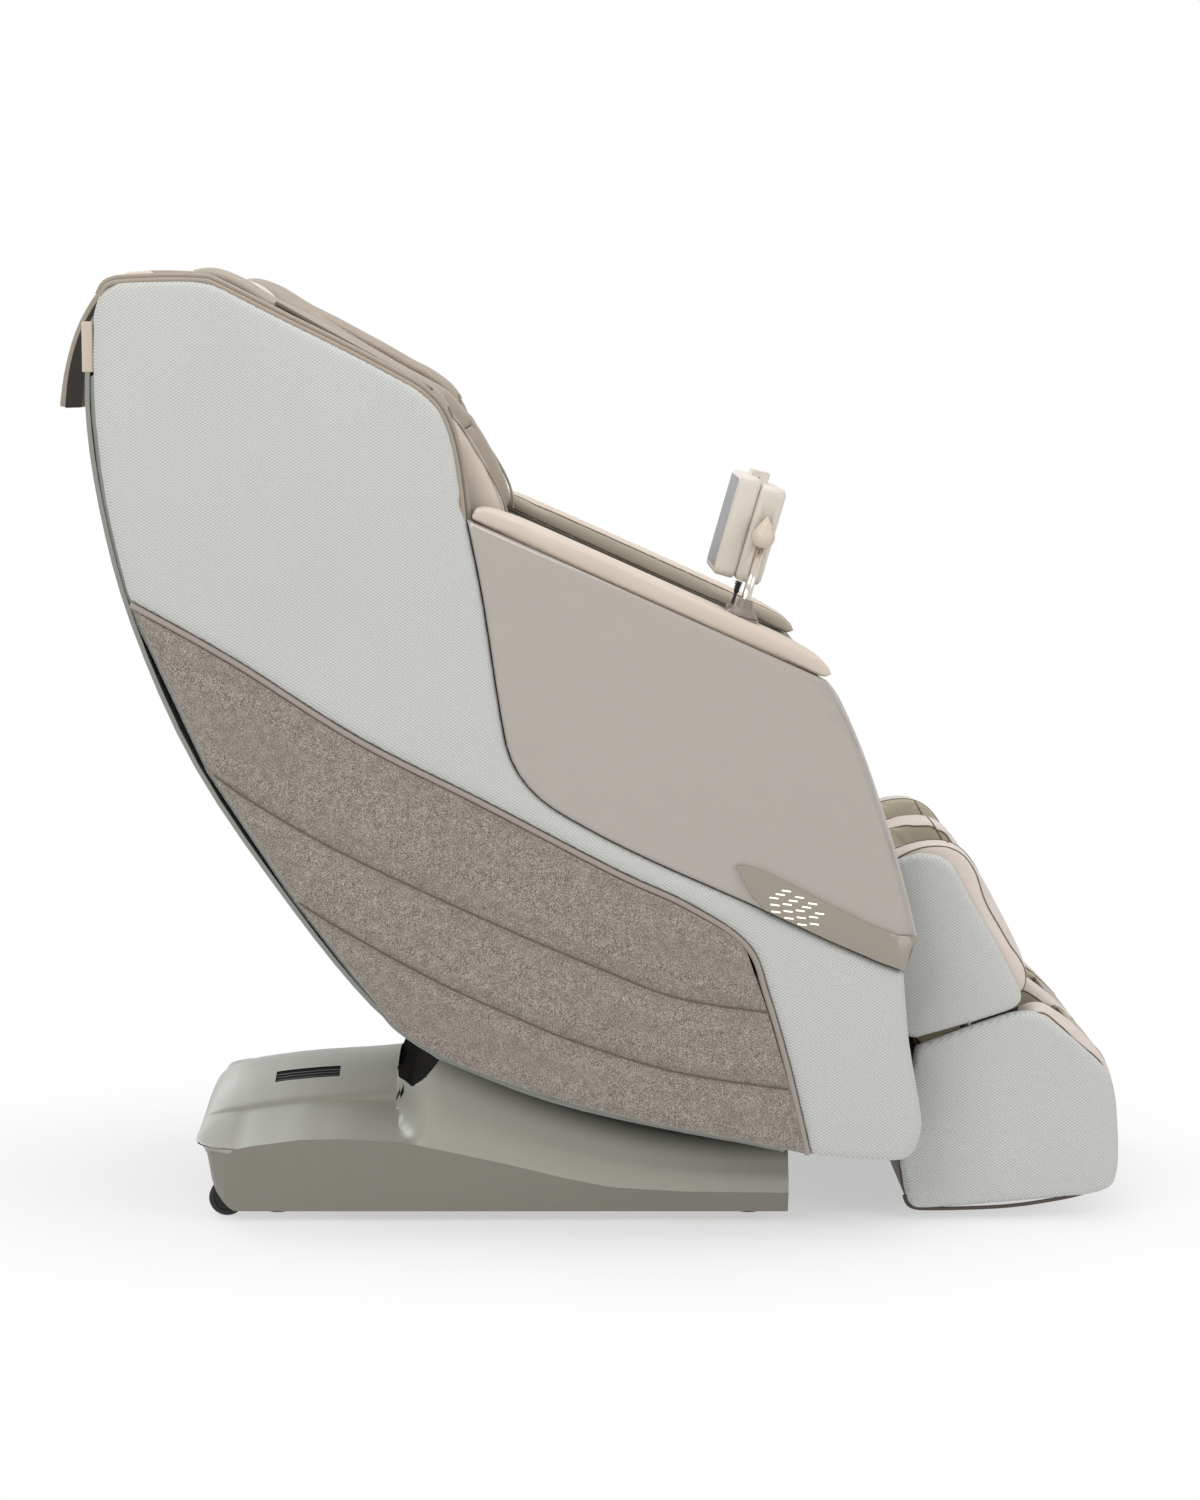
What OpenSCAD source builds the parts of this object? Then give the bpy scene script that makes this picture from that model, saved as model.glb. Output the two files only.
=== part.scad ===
// Capsule massage chair. A padded shell rocks on arc rails over a floor base, a two-part leg
// rest hangs from the front of its seat, and a tablet stands on the sitter's right arm.
// X points forward, Y to the sitter's left, Z up. The origin is on the floor under the middle.

/* [Widths] */
// Clear width between the two side shells
inner_w = 612; // [600:4:640]
// Depth of each side shell, from its inner wall to the rim that carries the panels
shell_depth = 64; // [50:2:80]
// Thickness of the upholstered side panels
panel_t = 24; // [16:1:30]
// How far the light bars stand out from the side panels
bar_proud = 6; // [4:1:12]
// Gap between the floor base and each side shell
base_gap = 6; // [4:1:16]
// Gap between the leg rest and each side shell
leg_gap = 26; // [18:1:40]

/* [Rocking] */
// Forward position of the centre that the shell rocks about
pivot_x = 269; // [266:1:272]
// Height of the centre that the shell rocks about
pivot_z = 1051; // [1048:1:1054]
// Height of the arc rails' lowest point over the floor
rail_low = 161; // [160:1:165]
// Height of the arc rails across their section
rail_h = 20; // [14:1:24]
// Width of the arc rails
rail_w = 14; // [10:1:16]
// Radius of the guide rollers under the rails
roller_r = 22; // [18:1:24]
// Tooth module of the rocking drive
gear_module = 5; // [4:0.5:5]
// Teeth on the drive pinion
pinion_teeth = 14; // [14:1:16]
// Teeth that a full circle of the drive rack would have
rack_teeth = 354; // [352:1:355]
// Width of the drive pinion
pinion_w = 20; // [14:1:24]

/* [Base] */
// Height of the cover's lower edge over the floor
base_clear = 12; // [8:1:14]
// Wall of the base cover
cover_wall = 4; // [3:0.5:6]
// Radius of the transport wheels
wheel_r = 25; // [22:1:27]
// Width of the transport wheels
wheel_w = 18; // [14:1:20]
// Radius of the rubber feet
foot_r = 20; // [14:1:24]
// Slats in each air vent
vent_slats = 5; // [3:1:7]

/* [Shell] */
// Wall of the side shells
shell_wall = 6; // [4:0.5:8]
// Wall of the back cover and the belly cover
cover_sheet = 4; // [3:0.5:6]
// Seam gap between neighbouring side panels
seam_gap = 2; // [1:0.5:3]
// Edge rounding of the upholstered panels
panel_round = 9; // [6:1:12]
// Edge rounding of the glossy arm panels
fascia_round = 7; // [4:1:10]
// Radius of the leather welt along the lower panels
welt_r = 4; // [3:0.5:5]
// Height of the quilting on the lower panels
quilt_puff = 7; // [4:1:9]
// Height of the arm pads over the arm line
arm_pad_h = 27; // [20:1:34]

/* [Massage carriage] */
// How far inside the arc rails the massage carriage's track lies
track_in = 46; // [45:1:48]
// Radius of the kneading rollers
knead_r = 24; // [20:1:25]
// Radius of the kneading shaft
knead_shaft_r = 9; // [7:0.5:10]

/* [Leg rest] */
// Forward position of the leg rest hinge
knee_x = 380; // [378:1:382]
// Height of the leg rest hinge
knee_z = 450; // [448:1:452]
// Radius of the hinge tube
knee_tube_r = 10; // [8:0.5:11]
// Thickness of the side panels of the leg rest
leg_panel_t = 18; // [12:1:22]
// Radius of the calf wells
calf_well_r = 76; // [68:1:80]
// Travel of the foot rest
foot_travel = 140; // [100:5:140]
// Radius of the foot rest's slide rods
slide_rod_r = 8; // [6:0.5:9]
// Length of the lever that lifts the leg rest
lever_l = 60; // [54:1:62]
// Swing of the leg rest in degrees
leg_swing = 60; // [50:1:60]

/* [Tablet] */
// Lean of the tablet's post in degrees
post_lean = 15; // [12:1:18]
// Radius of the post
post_r = 6.3; // [5:0.1:7]
// Height of the tilt pivot over the arm pad, along the post
post_h = 112; // [100:1:125]
// Width of the tablet dock
tablet_w = 205; // [180:5:215]
// Height of the tablet dock
tablet_h = 138; // [120:1:150]
// Thickness of the tablet's front housing
tablet_front_t = 30; // [22:1:32]
// Thickness of the dock behind the tablet
tablet_dock_t = 36; // [30:1:40]
// Lean of the tablet in degrees
tablet_lean = 16; // [10:1:20]

/* [Hidden] */

// Arcs about the rocking centre
rail_r = pivot_z - rail_low;
track_r = rail_r - track_in;
saddle_low = 105;
saddle_r = pivot_z - saddle_low;

// Levels across the chair, measured outwards from its middle
shell_in = inner_w / 2;
rim_out = shell_in + shell_depth;
panel_out = rim_out + panel_t;
bar_out = panel_out + bar_proud;
base_half = shell_in - base_gap;
leg_half = shell_in - leg_gap;
pad_half = leg_half - leg_panel_t - 0.3;
touch = 0.3;
running = 0.05;

pivot = [pivot_x, pivot_z];
knee = [knee_x, knee_z];
leg_tilt = 28;

// Rocking drive and rollers: angles are measured from straight below the pivot towards the back
plate_y = 208;
plate_t = 6;
rail_y = plate_y + plate_t;
roller_angles = [8, 28];
roller_orbit = rail_r + touch + roller_r;
roller_pin_r = 6;
pinion_angle = 17;
pinion_r = gear_module * pinion_teeth / 2;
rack_r = gear_module * rack_teeth / 2;
pinion_orbit = rack_r + pinion_r;
tooth_top = 0.8 * gear_module;
tooth_root = 1.05 * gear_module;
tooth_play = 0.5;
tube_r = 8;
tube_orbit = rail_r - 24;
rack_in = tube_orbit - tube_r - 6;
tube_angles = [12, 31, 49, 68, 88, 101];
bracket_y = rail_y + rail_w + 5;
bracket_t = 8;

// Outlines of the shell seen from its right side, as [forward, up]
arm_back = [-171, 970];
arm_front = [305, 757];
arm_dir = (arm_front - arm_back) / norm(arm_front - arm_back);
arm_up = [-arm_dir[1], arm_dir[0]];
rear_line = spline([[-664, 1225], [-671, 1120], [-655, 985], [-615, 830], [-533, 640],
    [-405, 448], [-300, 317], [-213, 246]], 4);
belly_line = spline([[-213, 246], [-60, 186], [120, 144], [290, 116], [372, 110],
    [404, 122], [411, 160], [403, 240]], 4);
border_line = spline([[-613, 858], [-480, 783], [-317, 679], [-153, 595], [24, 502],
    [122, 456], [200, 403], [228, 335], [257, 236], [285, 119]], 4);
arm_line = spline([[411, 368], [378, 380], [311, 409], [199, 461], [73, 517], [-12, 560],
    [-75, 600], [-112, 650], [-128, 720], [-150, 865], arm_back], 3);
shoulder_line = spline([arm_back, [-178, 1060], [-197, 1117], [-232, 1150]], 4);
crown_line = spline([[-483, 1276], [-522, 1284], [-612, 1281], [-643, 1268], [-655, 1238]], 4);
nape_line = spline([[-657, 1180], [-655, 1100], [-644, 1000], [-629, 925], [-615, 868]], 3);
toe_line = spline([[300, 117], [394, 110], [424, 119], [437, 152], [434, 185], [419, 270],
    [412, 345]], 4);
arm_nose = spline([arm_front, [322, 733], [352, 666], [377, 595], [405, 506], [428, 416]], 3);

// Base outline: height of its top, its crease and its underside along the chair
base_x0 = -547;
base_x1 = 266;
hump_end = -277;
hump_top = [[base_x0, 128], [-540, 138], [-530, 146], [-510, 155], [-486, 162], [-431, 170],
    [-390, 174], [-321, 178], [hump_end, 182]];
crease = [[base_x0, 94], [-471, 109], [-403, 118], [-341, 119], [-266, 115], [-198, 101],
    [-116, 83], [-47, 66], [21, 52], [117, 46], [base_x1, 44]];
underside = [[base_x0, 110], [-536, 92], [-531, 55], [-523, 31], [-507, base_clear + 2],
    [-495, base_clear], [base_x1, base_clear]];
base_cuts = [base_x0, -543, -536, -525, -510, -490, -460, -430, -390, -360, -332, -305,
    hump_end, -268, -240, -210, -180, -120, -60, 0, 60, 120, 180, 230, 250, 260, base_x1];
plan_round = 60;

// Frame of the base
chassis_z = 16;
chassis_h = 30;
tray_z = chassis_z + chassis_h - 6;
chassis_y = bracket_y - 30;
wheel_x = -508;
wheel_y = bracket_y + 5 + wheel_w / 2;
axle_r = 5;
vent_x = -407;
vent_y = 80;
vent_w = 92;
vent_d = 34;
inlet_x = -530;

// Leg rest
pad_plane = 14;
slide_y = 232;
slide_n = 30;
guide_r = slide_rod_r + 5;
calf_well_y = 120;
lever_pin_r = 6;
lever_half = leg_swing / 2;
lever_pin = knee + lever_l * [-sin(lever_half), -cos(lever_half)];
lever_low = knee_z - lever_l;
rod_z = (lever_pin[1] + lever_low) / 2;
foot_well_y = 118;
foot_well_w = 172;
foot_floor = 70;
foot_roller_r = 20;
foot_roller_z = foot_floor - 12;
foot_roller_x = [515, 590];

// Tablet and its post on the right arm
post_y = -347;
post_foot_along = 386;
post_foot = arm_back + arm_dir * post_foot_along + arm_up * arm_pad_h;
tilt_pivot = post_foot + post_h * [sin(post_lean), cos(post_lean)];
dock_y = post_y + 27;
knuckle_r = 15;

// A smooth curve through the points p, with n steps between each two
function spline(p, n) = concat(
    [for (i = [0 : len(p) - 2])
        let (a = p[max(i - 1, 0)], b = p[i], c = p[i + 1], d = p[min(i + 2, len(p) - 1)])
        for (k = [0 : n - 1])
            let (t = k / n)
            0.5 * (2 * b + (c - a) * t + (2 * a - 5 * b + 4 * c - d) * t * t
                + (3 * b - a - 3 * c + d) * t * t * t)],
    [p[len(p) - 1]]);

function unit(v) = v / norm(v);
function left_of(v) = [-v[1], v[0]];
function flip(p) = [for (i = [len(p) - 1 : -1 : 0]) p[i]];

// The curve p moved sideways by d, to the left of its direction
function shift(p, d) = [for (i = [0 : len(p) - 1])
    p[i] + d * left_of(unit(p[min(i + 1, len(p) - 1)] - p[max(i - 1, 0)]))];

function turn(p) = [for (i = [0 : len(p) - 1])
    let (a = p[i], b = p[(i + 1) % len(p)]) a[0] * b[1] - a[1] * b[0]];
function total(v, i = 0) = i == len(v) ? 0 : v[i] + total(v, i + 1);
function ccw(p) = total(turn(p)) > 0 ? p : flip(p);
function cleaned(p) = [for (i = [0 : len(p) - 1])
    if (norm(p[i] - p[(i + 1) % len(p)]) > 1) p[i]];

// The closed outline p drawn in by d
function inset(p, d) = [for (i = [0 : len(p) - 1])
    let (n1 = left_of(unit(p[i] - p[(i + len(p) - 1) % len(p)])),
        n2 = left_of(unit(p[(i + 1) % len(p)] - p[i])))
    p[i] + d * (n1 + n2) / max(1 + n1 * n2, 0.5)];

function band(p, t) = concat(p, flip(shift(p, t)));
function on_orbit(angle, r) = pivot + r * [-sin(angle), -cos(angle)];

// Levels and insets of an edge rounded with radius r at the outer end only, or at both ends
function rounded_rim(z0, z1, r) = concat([[z0, 0]],
    [for (a = [0 : 30 : 90]) [z1 - r + r * sin(a), r * (1 - cos(a))]]);
function rounded_ends(z0, z1, r) = concat(
    [for (a = [90 : -30 : 0]) [z0 + r - r * sin(a), r * (1 - cos(a))]],
    [for (a = [0 : 30 : 90]) [z1 - r + r * sin(a), r * (1 - cos(a))]]);

// The counter-clockwise outline p cut into triangles, as indices into it
function cross2(a, b, c) = (b[0] - a[0]) * (c[1] - a[1]) - (b[1] - a[1]) * (c[0] - a[0]);
function holds(a, b, c, q) = cross2(a, b, q) > -1e-6 && cross2(b, c, q) > -1e-6 && cross2(c, a, q) > -1e-6;
function is_ear(p, ids, i) = let (n = len(ids), a = p[ids[(i + n - 1) % n]], b = p[ids[i]], c = p[ids[(i + 1) % n]])
    cross2(a, b, c) > 1e-3 && len([for (k = [2 : n - 2]) if (holds(a, b, c, p[ids[(i + k) % n]])) 1]) == 0;
function next_ear(p, ids, i, left) = left == 0 || is_ear(p, ids, i) ? i : next_ear(p, ids, (i + 1) % len(ids), left - 1);
function clipped(p, ids, from = 0) = len(ids) == 3 ? [ids]
    : let (n = len(ids), i = next_ear(p, ids, from % n, n))
        concat([[ids[(i + n - 1) % n], ids[i], ids[(i + 1) % n]]],
            clipped(p, [for (k = [0 : n - 1]) if (k != i) ids[k]], i + 1));
function triangles(p) = clipped(p, [for (i = [0 : len(p) - 1]) i]);

module skin(rings, low_cap = [], top_cap = []) {
    n = len(rings[0]);
    last = len(rings) - 1;
    polyhedron([for (ring = rings) each ring], concat(
        len(low_cap) ? low_cap : [[for (i = [0 : n - 1]) i]],
        len(top_cap) ? [for (t = top_cap) [last * n + t[2], last * n + t[1], last * n + t[0]]]
            : [[for (i = [n - 1 : -1 : 0]) last * n + i]],
        [for (k = [0 : last - 1]) for (i = [0 : n - 1])
            let (a = k * n + i, b = k * n + (i + 1) % n)
            each [[a, a + n, b + n], [a, b + n, b]]]));
}

// A solid with the side outline p, drawn in at each [level, inset] of the list
module lofted(p, levels) {
    outline = ccw(cleaned(p));
    skin([for (s = levels) [for (q = inset(outline, s[1])) [q[0], q[1], s[0]]]],
        triangles(inset(outline, levels[0][1])), triangles(inset(outline, levels[len(levels) - 1][1])));
}

module slab(p, z0, z1) {
    translate([0, 0, z0]) linear_extrude(z1 - z0) polygon(p);
}

// In the side frame x is forward, y is up and z is outwards from the middle of the chair
module on_right() {
    rotate([90, 0, 0]) children();
}

module on_left() {
    mirror([0, 1, 0]) on_right() children();
}

module on_both() {
    on_right() children();
    on_left() children();
}

module across(p, half) {
    on_right() slab(p, -half, half);
}

// A round bar along Y through the side point p
module bar(p, r, half) {
    on_right() translate([p[0], p[1], -half]) cylinder(h = 2 * half, r = r, $fn = 64);
}

// An arc about the rocking centre, from angle a0 to a1, with section r0..r1 by z0..z1
module arc_bar(r0, r1, a0, a1, z0, z1) {
    translate([pivot_x, pivot_z, 0]) rotate([0, 0, 270 - a1])
        rotate_extrude(angle = a1 - a0, $fn = 240)
            translate([r0, z0]) square([r1 - r0, z1 - z0]);
}

// A tube of radius r swept along a planar path at level z in the side frame
module swept(path, z, r, sides = 8) {
    n = len(path);
    skin([for (i = [0 : n - 1])
        let (u = unit(path[min(i + 1, n - 1)] - path[max(i - 1, 0)]), s = left_of(u))
        [for (k = [0 : sides - 1])
            let (a = 360 * k / sides)
            [path[i][0] + r * cos(a) * s[0], path[i][1] + r * cos(a) * s[1], z + r * sin(a)]]]);
}

// Leg frame: origin at the knee hinge, x out of the shin side, z up along the leg
module leg_frame() {
    translate([knee_x, 0, knee_z]) rotate([0, -leg_tilt, 0]) children();
}

// ---- floor base ----

function saddle(x) = pivot_z - sqrt(saddle_r * saddle_r - (x - pivot_x) * (x - pivot_x));
function base_top(x) = x > hump_end ? saddle(x) : lookup(x, hump_top);
function plan_half(x) = let (e = max(plan_round - (x - base_x0), 0))
    base_half - plan_round + sqrt(plan_round * plan_round - e * e);
lean_foot = 12;
lean_low = 9;
lean_top = 42;

// Well behind hump_end the top is a low dome with a ledge round it, ahead of it a flat saddle
dome_in = 130;
dome_step = 16;
dome_drop = 27;
dome_fade = 55;

function mixed(a, b, t) = a + (b - a) * t;
function base_ring(x, wall, z0) =
    let (w = plan_half(x) - wall, zt = base_top(x) - wall,
        d = min(max((hump_end - x) / dome_fade, 0), 1),
        zb = max(z0, -5), zc = max(lookup(x, crease) - wall * d, zb + 1), rise = zt - zc,
        y3 = w - mixed(lean_low, dome_in, d),
        z3 = zc + mixed(0.45 * rise, min(dome_step, 0.3 * rise), d),
        y4 = w - mixed(lean_top, dome_in + 30, d),
        z4 = zt - d * min(dome_drop, 0.5 * rise),
        half = [[w, zc], [y3, z3], [y4, z4], [y4 / 2, zt - (zt - z4) / 4]])
    concat([[x, lean_foot - w, zb], [x, w - lean_foot, zb]], [for (q = half) [x, q[0], q[1]]],
        [[x, 0, zt]], [for (k = [3 : -1 : 0]) [x, -half[k][0], half[k][1]]]);

module base_body() {
    skin([for (x = base_cuts) base_ring(x, 0, lookup(x, underside))]);
}

module base_inner(wall) {
    skin([for (x = concat([base_x0 + wall + 8.4], [for (q = base_cuts) if (q > -530 && q < 255) q],
            [base_x1 - wall]))
        base_ring(x, wall, x < -500 ? lookup(x, underside) + wall : -5)]);
}

module base_cover() {
    color("#8f8e86") difference() {
        base_body();
        base_inner(cover_wall);
        across([[hump_end - 1, 300], [hump_end - 1, 172], [-254, 174], [-209, 228], [-209, 300]],
            base_half + 1);
        for (side = [-1, 1]) {
            for (a = roller_angles)
                translate([on_orbit(a, roller_orbit)[0] - 26, side * (bracket_y + bracket_t / 2) - 8, 60])
                    cube([52, 16, 200]);
            translate([vent_x - vent_w / 2, side * vent_y - vent_d / 2, 100])
                cube([vent_w, vent_d, 160]);
        }
        for (side = [0, 1]) mirror([0, side, 0]) translate([wheel_x, bracket_y - 16, wheel_r])
            rotate([-90, 0, 0]) cylinder(h = wheel_y + wheel_w / 2 + 19 + touch - bracket_y, r = wheel_r + 5, $fn = 64);
        translate([-62, -46, 60]) cube([124, 92, 140]);
        translate([base_x0 - 5, -150, 62]) cube([40, 120, 38]);
    }
}

module vent_grille() {
    difference() {
        intersection() {
            translate([vent_x - vent_w / 2 - 4, vent_y - vent_d / 2 - 4, 100])
                cube([vent_w + 8, vent_d + 8, 160]);
            base_inner(cover_wall + touch);
        }
        base_inner(cover_wall + 3);
    }
    for (k = [0 : vent_slats - 1]) difference() {
        intersection() {
            translate([vent_x - vent_w / 2 + 0.3, vent_y - vent_d / 2 + 0.3
                    + k * (vent_d - 2.6) / (vent_slats - 1), 100])
                cube([vent_w - 0.6, 2, 160]);
            base_inner(1);
        }
        base_inner(cover_wall + 2);
    }
}

module vent_grilles() {
    color("#1d1d1d") for (side = [0, 1]) mirror([0, side, 0]) vent_grille();
}

module roller_bracket(a) {
    c = on_orbit(a, roller_orbit);
    difference() {
        union() {
            translate([c[0], c[1], bracket_y]) cylinder(h = bracket_t, r = 15, $fn = 64);
            slab([[c[0] - 15, c[1]], [c[0] - 24, chassis_z + chassis_h], [c[0] - 24, chassis_z],
                [c[0] + 24, chassis_z], [c[0] + 24, chassis_z + chassis_h], [c[0] + 15, c[1]]],
                bracket_y, bracket_y + bracket_t);
        }
        translate([c[0], c[1], bracket_y - 1])
            cylinder(h = bracket_t + 2, r = roller_pin_r + running, $fn = 64);
    }
}

module base_frame() {
    chassis_x0 = -478;
    chassis_x1 = 244;
    color("#3c3d3f") {
        on_both() {
            slab([[chassis_x0, chassis_z], [chassis_x1, chassis_z], [chassis_x1, chassis_z + chassis_h],
                [chassis_x0, chassis_z + chassis_h]], chassis_y, bracket_y);
            for (a = roller_angles) roller_bracket(a);
            translate([wheel_x, wheel_r + touch, bracket_y - 14])
                cylinder(h = wheel_w + 22, r = axle_r, $fn = 48);
            slab([[wheel_x - 9, wheel_r - 8], [chassis_x0, chassis_z], [chassis_x0, chassis_z + chassis_h],
                [wheel_x - 9, wheel_r + 12]], bracket_y - 14, bracket_y);
        }
        for (x = [-440, -340, -80, 60, 200])
            translate([x, -chassis_y, chassis_z]) cube([30, 2 * chassis_y, tray_z - chassis_z]);
    }
}

module base_feet() {
    color("#222222") for (side = [-1, 1]) for (x = [-440, 215])
        translate([x, side * (chassis_y + 15), 0]) cylinder(h = chassis_z, r1 = foot_r - 2, r2 = foot_r, $fn = 48);
}

module wheel() {
    translate([wheel_x, wheel_y, wheel_r + touch]) rotate([90, 0, 0])
        translate([0, 0, -wheel_w / 2]) difference() {
            rotate_extrude($fn = 96) polygon([[axle_r + running, 0], [9, 0], [9, 2], [wheel_r - 7, 2],
                [wheel_r - 7, 0], [wheel_r - 3, 0], [wheel_r, 3], [wheel_r, wheel_w - 3],
                [wheel_r - 3, wheel_w], [wheel_r - 7, wheel_w], [wheel_r - 7, wheel_w - 2],
                [9, wheel_w - 2], [9, wheel_w], [axle_r + running, wheel_w]]);
        }
}

module wheel_right() {
    color("#1c1c1c") mirror([0, 1, 0]) wheel();
}

module wheel_left() {
    color("#1c1c1c") wheel();
}

// Involute flank of the pinion: the point where the thread has unwound by t degrees
function unwound(rb, t) = rb * [cos(t) + t * PI / 180 * sin(t), sin(t) - t * PI / 180 * cos(t)];
function turned(p, a) = [p[0] * cos(a) - p[1] * sin(a), p[0] * sin(a) + p[1] * cos(a)];

pressure = 20;
base_circle = pinion_r * cos(pressure);
flank_end = sqrt(pow((pinion_r + tooth_top) / base_circle, 2) - 1) * 180 / PI;
flank_mid = tan(pressure) * 180 / PI - pressure;
half_tooth = 90 / pinion_teeth - tooth_play / 4 / pinion_r * 180 / PI;

function pinion_tooth(a) = let (steps = 5)
    concat(
        [turned([pinion_r - tooth_root, 0], a - half_tooth - flank_mid)],
        [for (k = [0 : steps]) turned(unwound(base_circle, flank_end * k / steps), a - half_tooth - flank_mid)],
        [for (k = [steps : -1 : 0])
            let (p = unwound(base_circle, flank_end * k / steps))
            turned([p[0], -p[1]], a + half_tooth + flank_mid)],
        [turned([pinion_r - tooth_root, 0], a + half_tooth + flank_mid)]);

pinion_shaft_r = 9;

module drive_pinion() {
    c = on_orbit(pinion_angle, pinion_orbit);
    color("#b9bcc0") on_right() translate([c[0], c[1], 0]) {
        translate([0, 0, -pinion_w / 2]) linear_extrude(pinion_w)
            polygon([for (k = [0 : pinion_teeth - 1])
                each pinion_tooth(90 - pinion_angle + (k + 0.5) * 360 / pinion_teeth)]);
        translate([0, 0, -36]) cylinder(h = 72, r = pinion_shaft_r, $fn = 48);
    }
}

module drive_unit() {
    c = on_orbit(pinion_angle, pinion_orbit);
    cheek_in = pinion_w / 2 + 4;
    box_top = 108;
    color("#4a4c50") {
        for (side = [-1, 1]) difference() {
            union() {
                on_right() translate([c[0], c[1], side > 0 ? cheek_in : -cheek_in - 16])
                    cylinder(h = 16, r = 17, $fn = 64);
                on_right() slab([[c[0] - 16, c[1]], [c[0] - 40, box_top], [c[0] + 40, box_top], [c[0] + 16, c[1]]],
                    side > 0 ? cheek_in + 0.5 : -cheek_in - 15.5, side > 0 ? cheek_in + 15.5 : -cheek_in - 0.5);
            }
            bar(c, pinion_shaft_r + running, 60);
        }
        translate([c[0] - 50, -42, tray_z]) cube([100, 84, box_top - tray_z]);
        translate([c[0], 42, 76]) rotate([-90, 0, 0]) cylinder(h = 118, r = 28, $fn = 64);
        translate([c[0], 160, 76]) rotate([-90, 0, 0]) cylinder(h = 12, r = 16, $fn = 48);
    }
}

module air_pump() {
    color("#2e3134") {
        translate([-420, -170, tray_z]) cube([90, 130, 74]);
        for (k = [0 : 5]) translate([-420 + 6 + k * 14, -164, tray_z + 74]) cube([5, 118, 10]);
        for (y = [-140, -90]) translate([-330, y, 90]) rotate([0, 90, 0]) cylinder(h = 16, r = 7, $fn = 32);
    }
}

module control_box() {
    color("#9aa0a6") {
        translate([-440, 10, tray_z]) cube([130, 150, 50]);
        for (k = [0 : 7]) translate([-432 + k * 15, 20, tray_z + 50]) cube([3, 130, 14]);
    }
}

module mains_inlet() {
    color("#19191a") difference() {
        translate([inlet_x, -149.7, 62.3]) cube([30, 119.4, 37.4]);
        translate([inlet_x - 1, -142, 68]) cube([18, 28, 22]);
        translate([inlet_x - 1, -96.2, 68.8]) cube([14, 20.4, 28.4]);
    }
    color("#c9a24b") for (y = [-136, -128, -120])
        translate([inlet_x + 3, y - 1, 76]) cube([14.5, 2, 5]);
}

module power_switch() {
    c = [inlet_x + 6, 83];
    color("#b8322a") on_right() {
            slab([[c[0] - 7, c[1] + 11], [c[0] + 4, c[1] + 12.5], [c[0] + 4, c[1] - 12.5], [c[0] - 3, c[1] - 12.5],
                [c[0] - 5, c[1]]], 77, 95);
            translate([c[0], c[1], 76.4]) cylinder(h = 19.2, r = 2, $fn = 32);
    }
}

module guide_rollers(a) {
    c = on_orbit(a, roller_orbit);
    color("#26282a") on_both() translate([c[0], c[1], 0]) {
        translate([0, 0, rail_y + 0.5]) rotate_extrude($fn = 96)
            polygon([[0, 0], [roller_r - 1, 0], [roller_r, 1], [roller_r, rail_w - 2], [roller_r - 1, rail_w - 1],
                [12, rail_w - 1], [12, rail_w + 3.5], [roller_pin_r, rail_w + 3.5],
                [roller_pin_r, rail_w + bracket_t + 7], [0, rail_w + bracket_t + 7]]);
    }
}

module front_guide_rollers() {
    guide_rollers(roller_angles[0]);
}

module rear_guide_rollers() {
    guide_rollers(roller_angles[1]);
}

// ---- rocking shell ----

module cross_tubes(half, grow = 0) {
    for (a = tube_angles) bar(on_orbit(a, tube_orbit), tube_r + grow, half);
}

front_tube = [322, 340];
front_tube_r = 11;
actuator_x0 = 84;

module side_plate() {
    pan_l = [-128, 424];
    pan_r = [300, 444];
    difference() {
        union() {
            arc_bar(track_r - track_h / 2, rail_r - 5, 4, 103, plate_y, rail_y);
            slab([[120, 205], [205, 180], [345, 322], [knee_x + 24, knee_z - 8], [knee_x - 6, knee_z + 24],
                [352, 466], pan_r, [300, 360]], plate_y + 0.5, rail_y - 0.5);
            slab([[60, 200], [118, 195], [106, 424], [62, 424]], plate_y + 1, rail_y - 1);
            slab([[-150, 310], [-96, 285], [-66, 424], pan_l], plate_y + 1, rail_y - 1);
            slab([pan_l, [-128, 398], [310, 418], [352, 440], pan_r], plate_y + 1.5, rail_y - 1.5);
            translate([knee_x, knee_z, plate_y]) cylinder(h = plate_t, r = 24, $fn = 64);
        }
        translate([knee_x, knee_z, plate_y - 1]) cylinder(h = plate_t + 2, r = knee_tube_r + running, $fn = 64);
    }
}

module seat_frame() {
    color("#45474b") {
        on_both() side_plate();
        cross_tubes(shell_in);
        bar(front_tube, front_tube_r, shell_in);
        bar([actuator_x0, rod_z], tube_r, plate_y + 3);
        across([[-128, 418], [300, 438], [300, 444], [-128, 424]], plate_y + 3);
    }
}

module rocker_rails() {
    color("#6d7075") difference() {
        on_both() arc_bar(rail_r - rail_h, rail_r, 3, 63, rail_y, rail_y + rail_w);
        cross_tubes(shell_in);
    }
}

// A tooth of the drive rack, whose flanks lean by the pressure angle
function rack_tooth(i) = let (a = 360 / rack_teeth * i,
        half = gear_module * PI / 4 - tooth_play / 4)
    [for (s = [[-1, -tooth_root], [-1, tooth_top], [1, tooth_top], [1, -tooth_root]])
        let (r = rack_r + s[1], w = half - s[1] * tan(pressure), b = a + s[0] * w / r * 180 / PI)
        [sin(b) * r, -cos(b) * r]];

rack_from = 11;
rack_to = 53;

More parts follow.
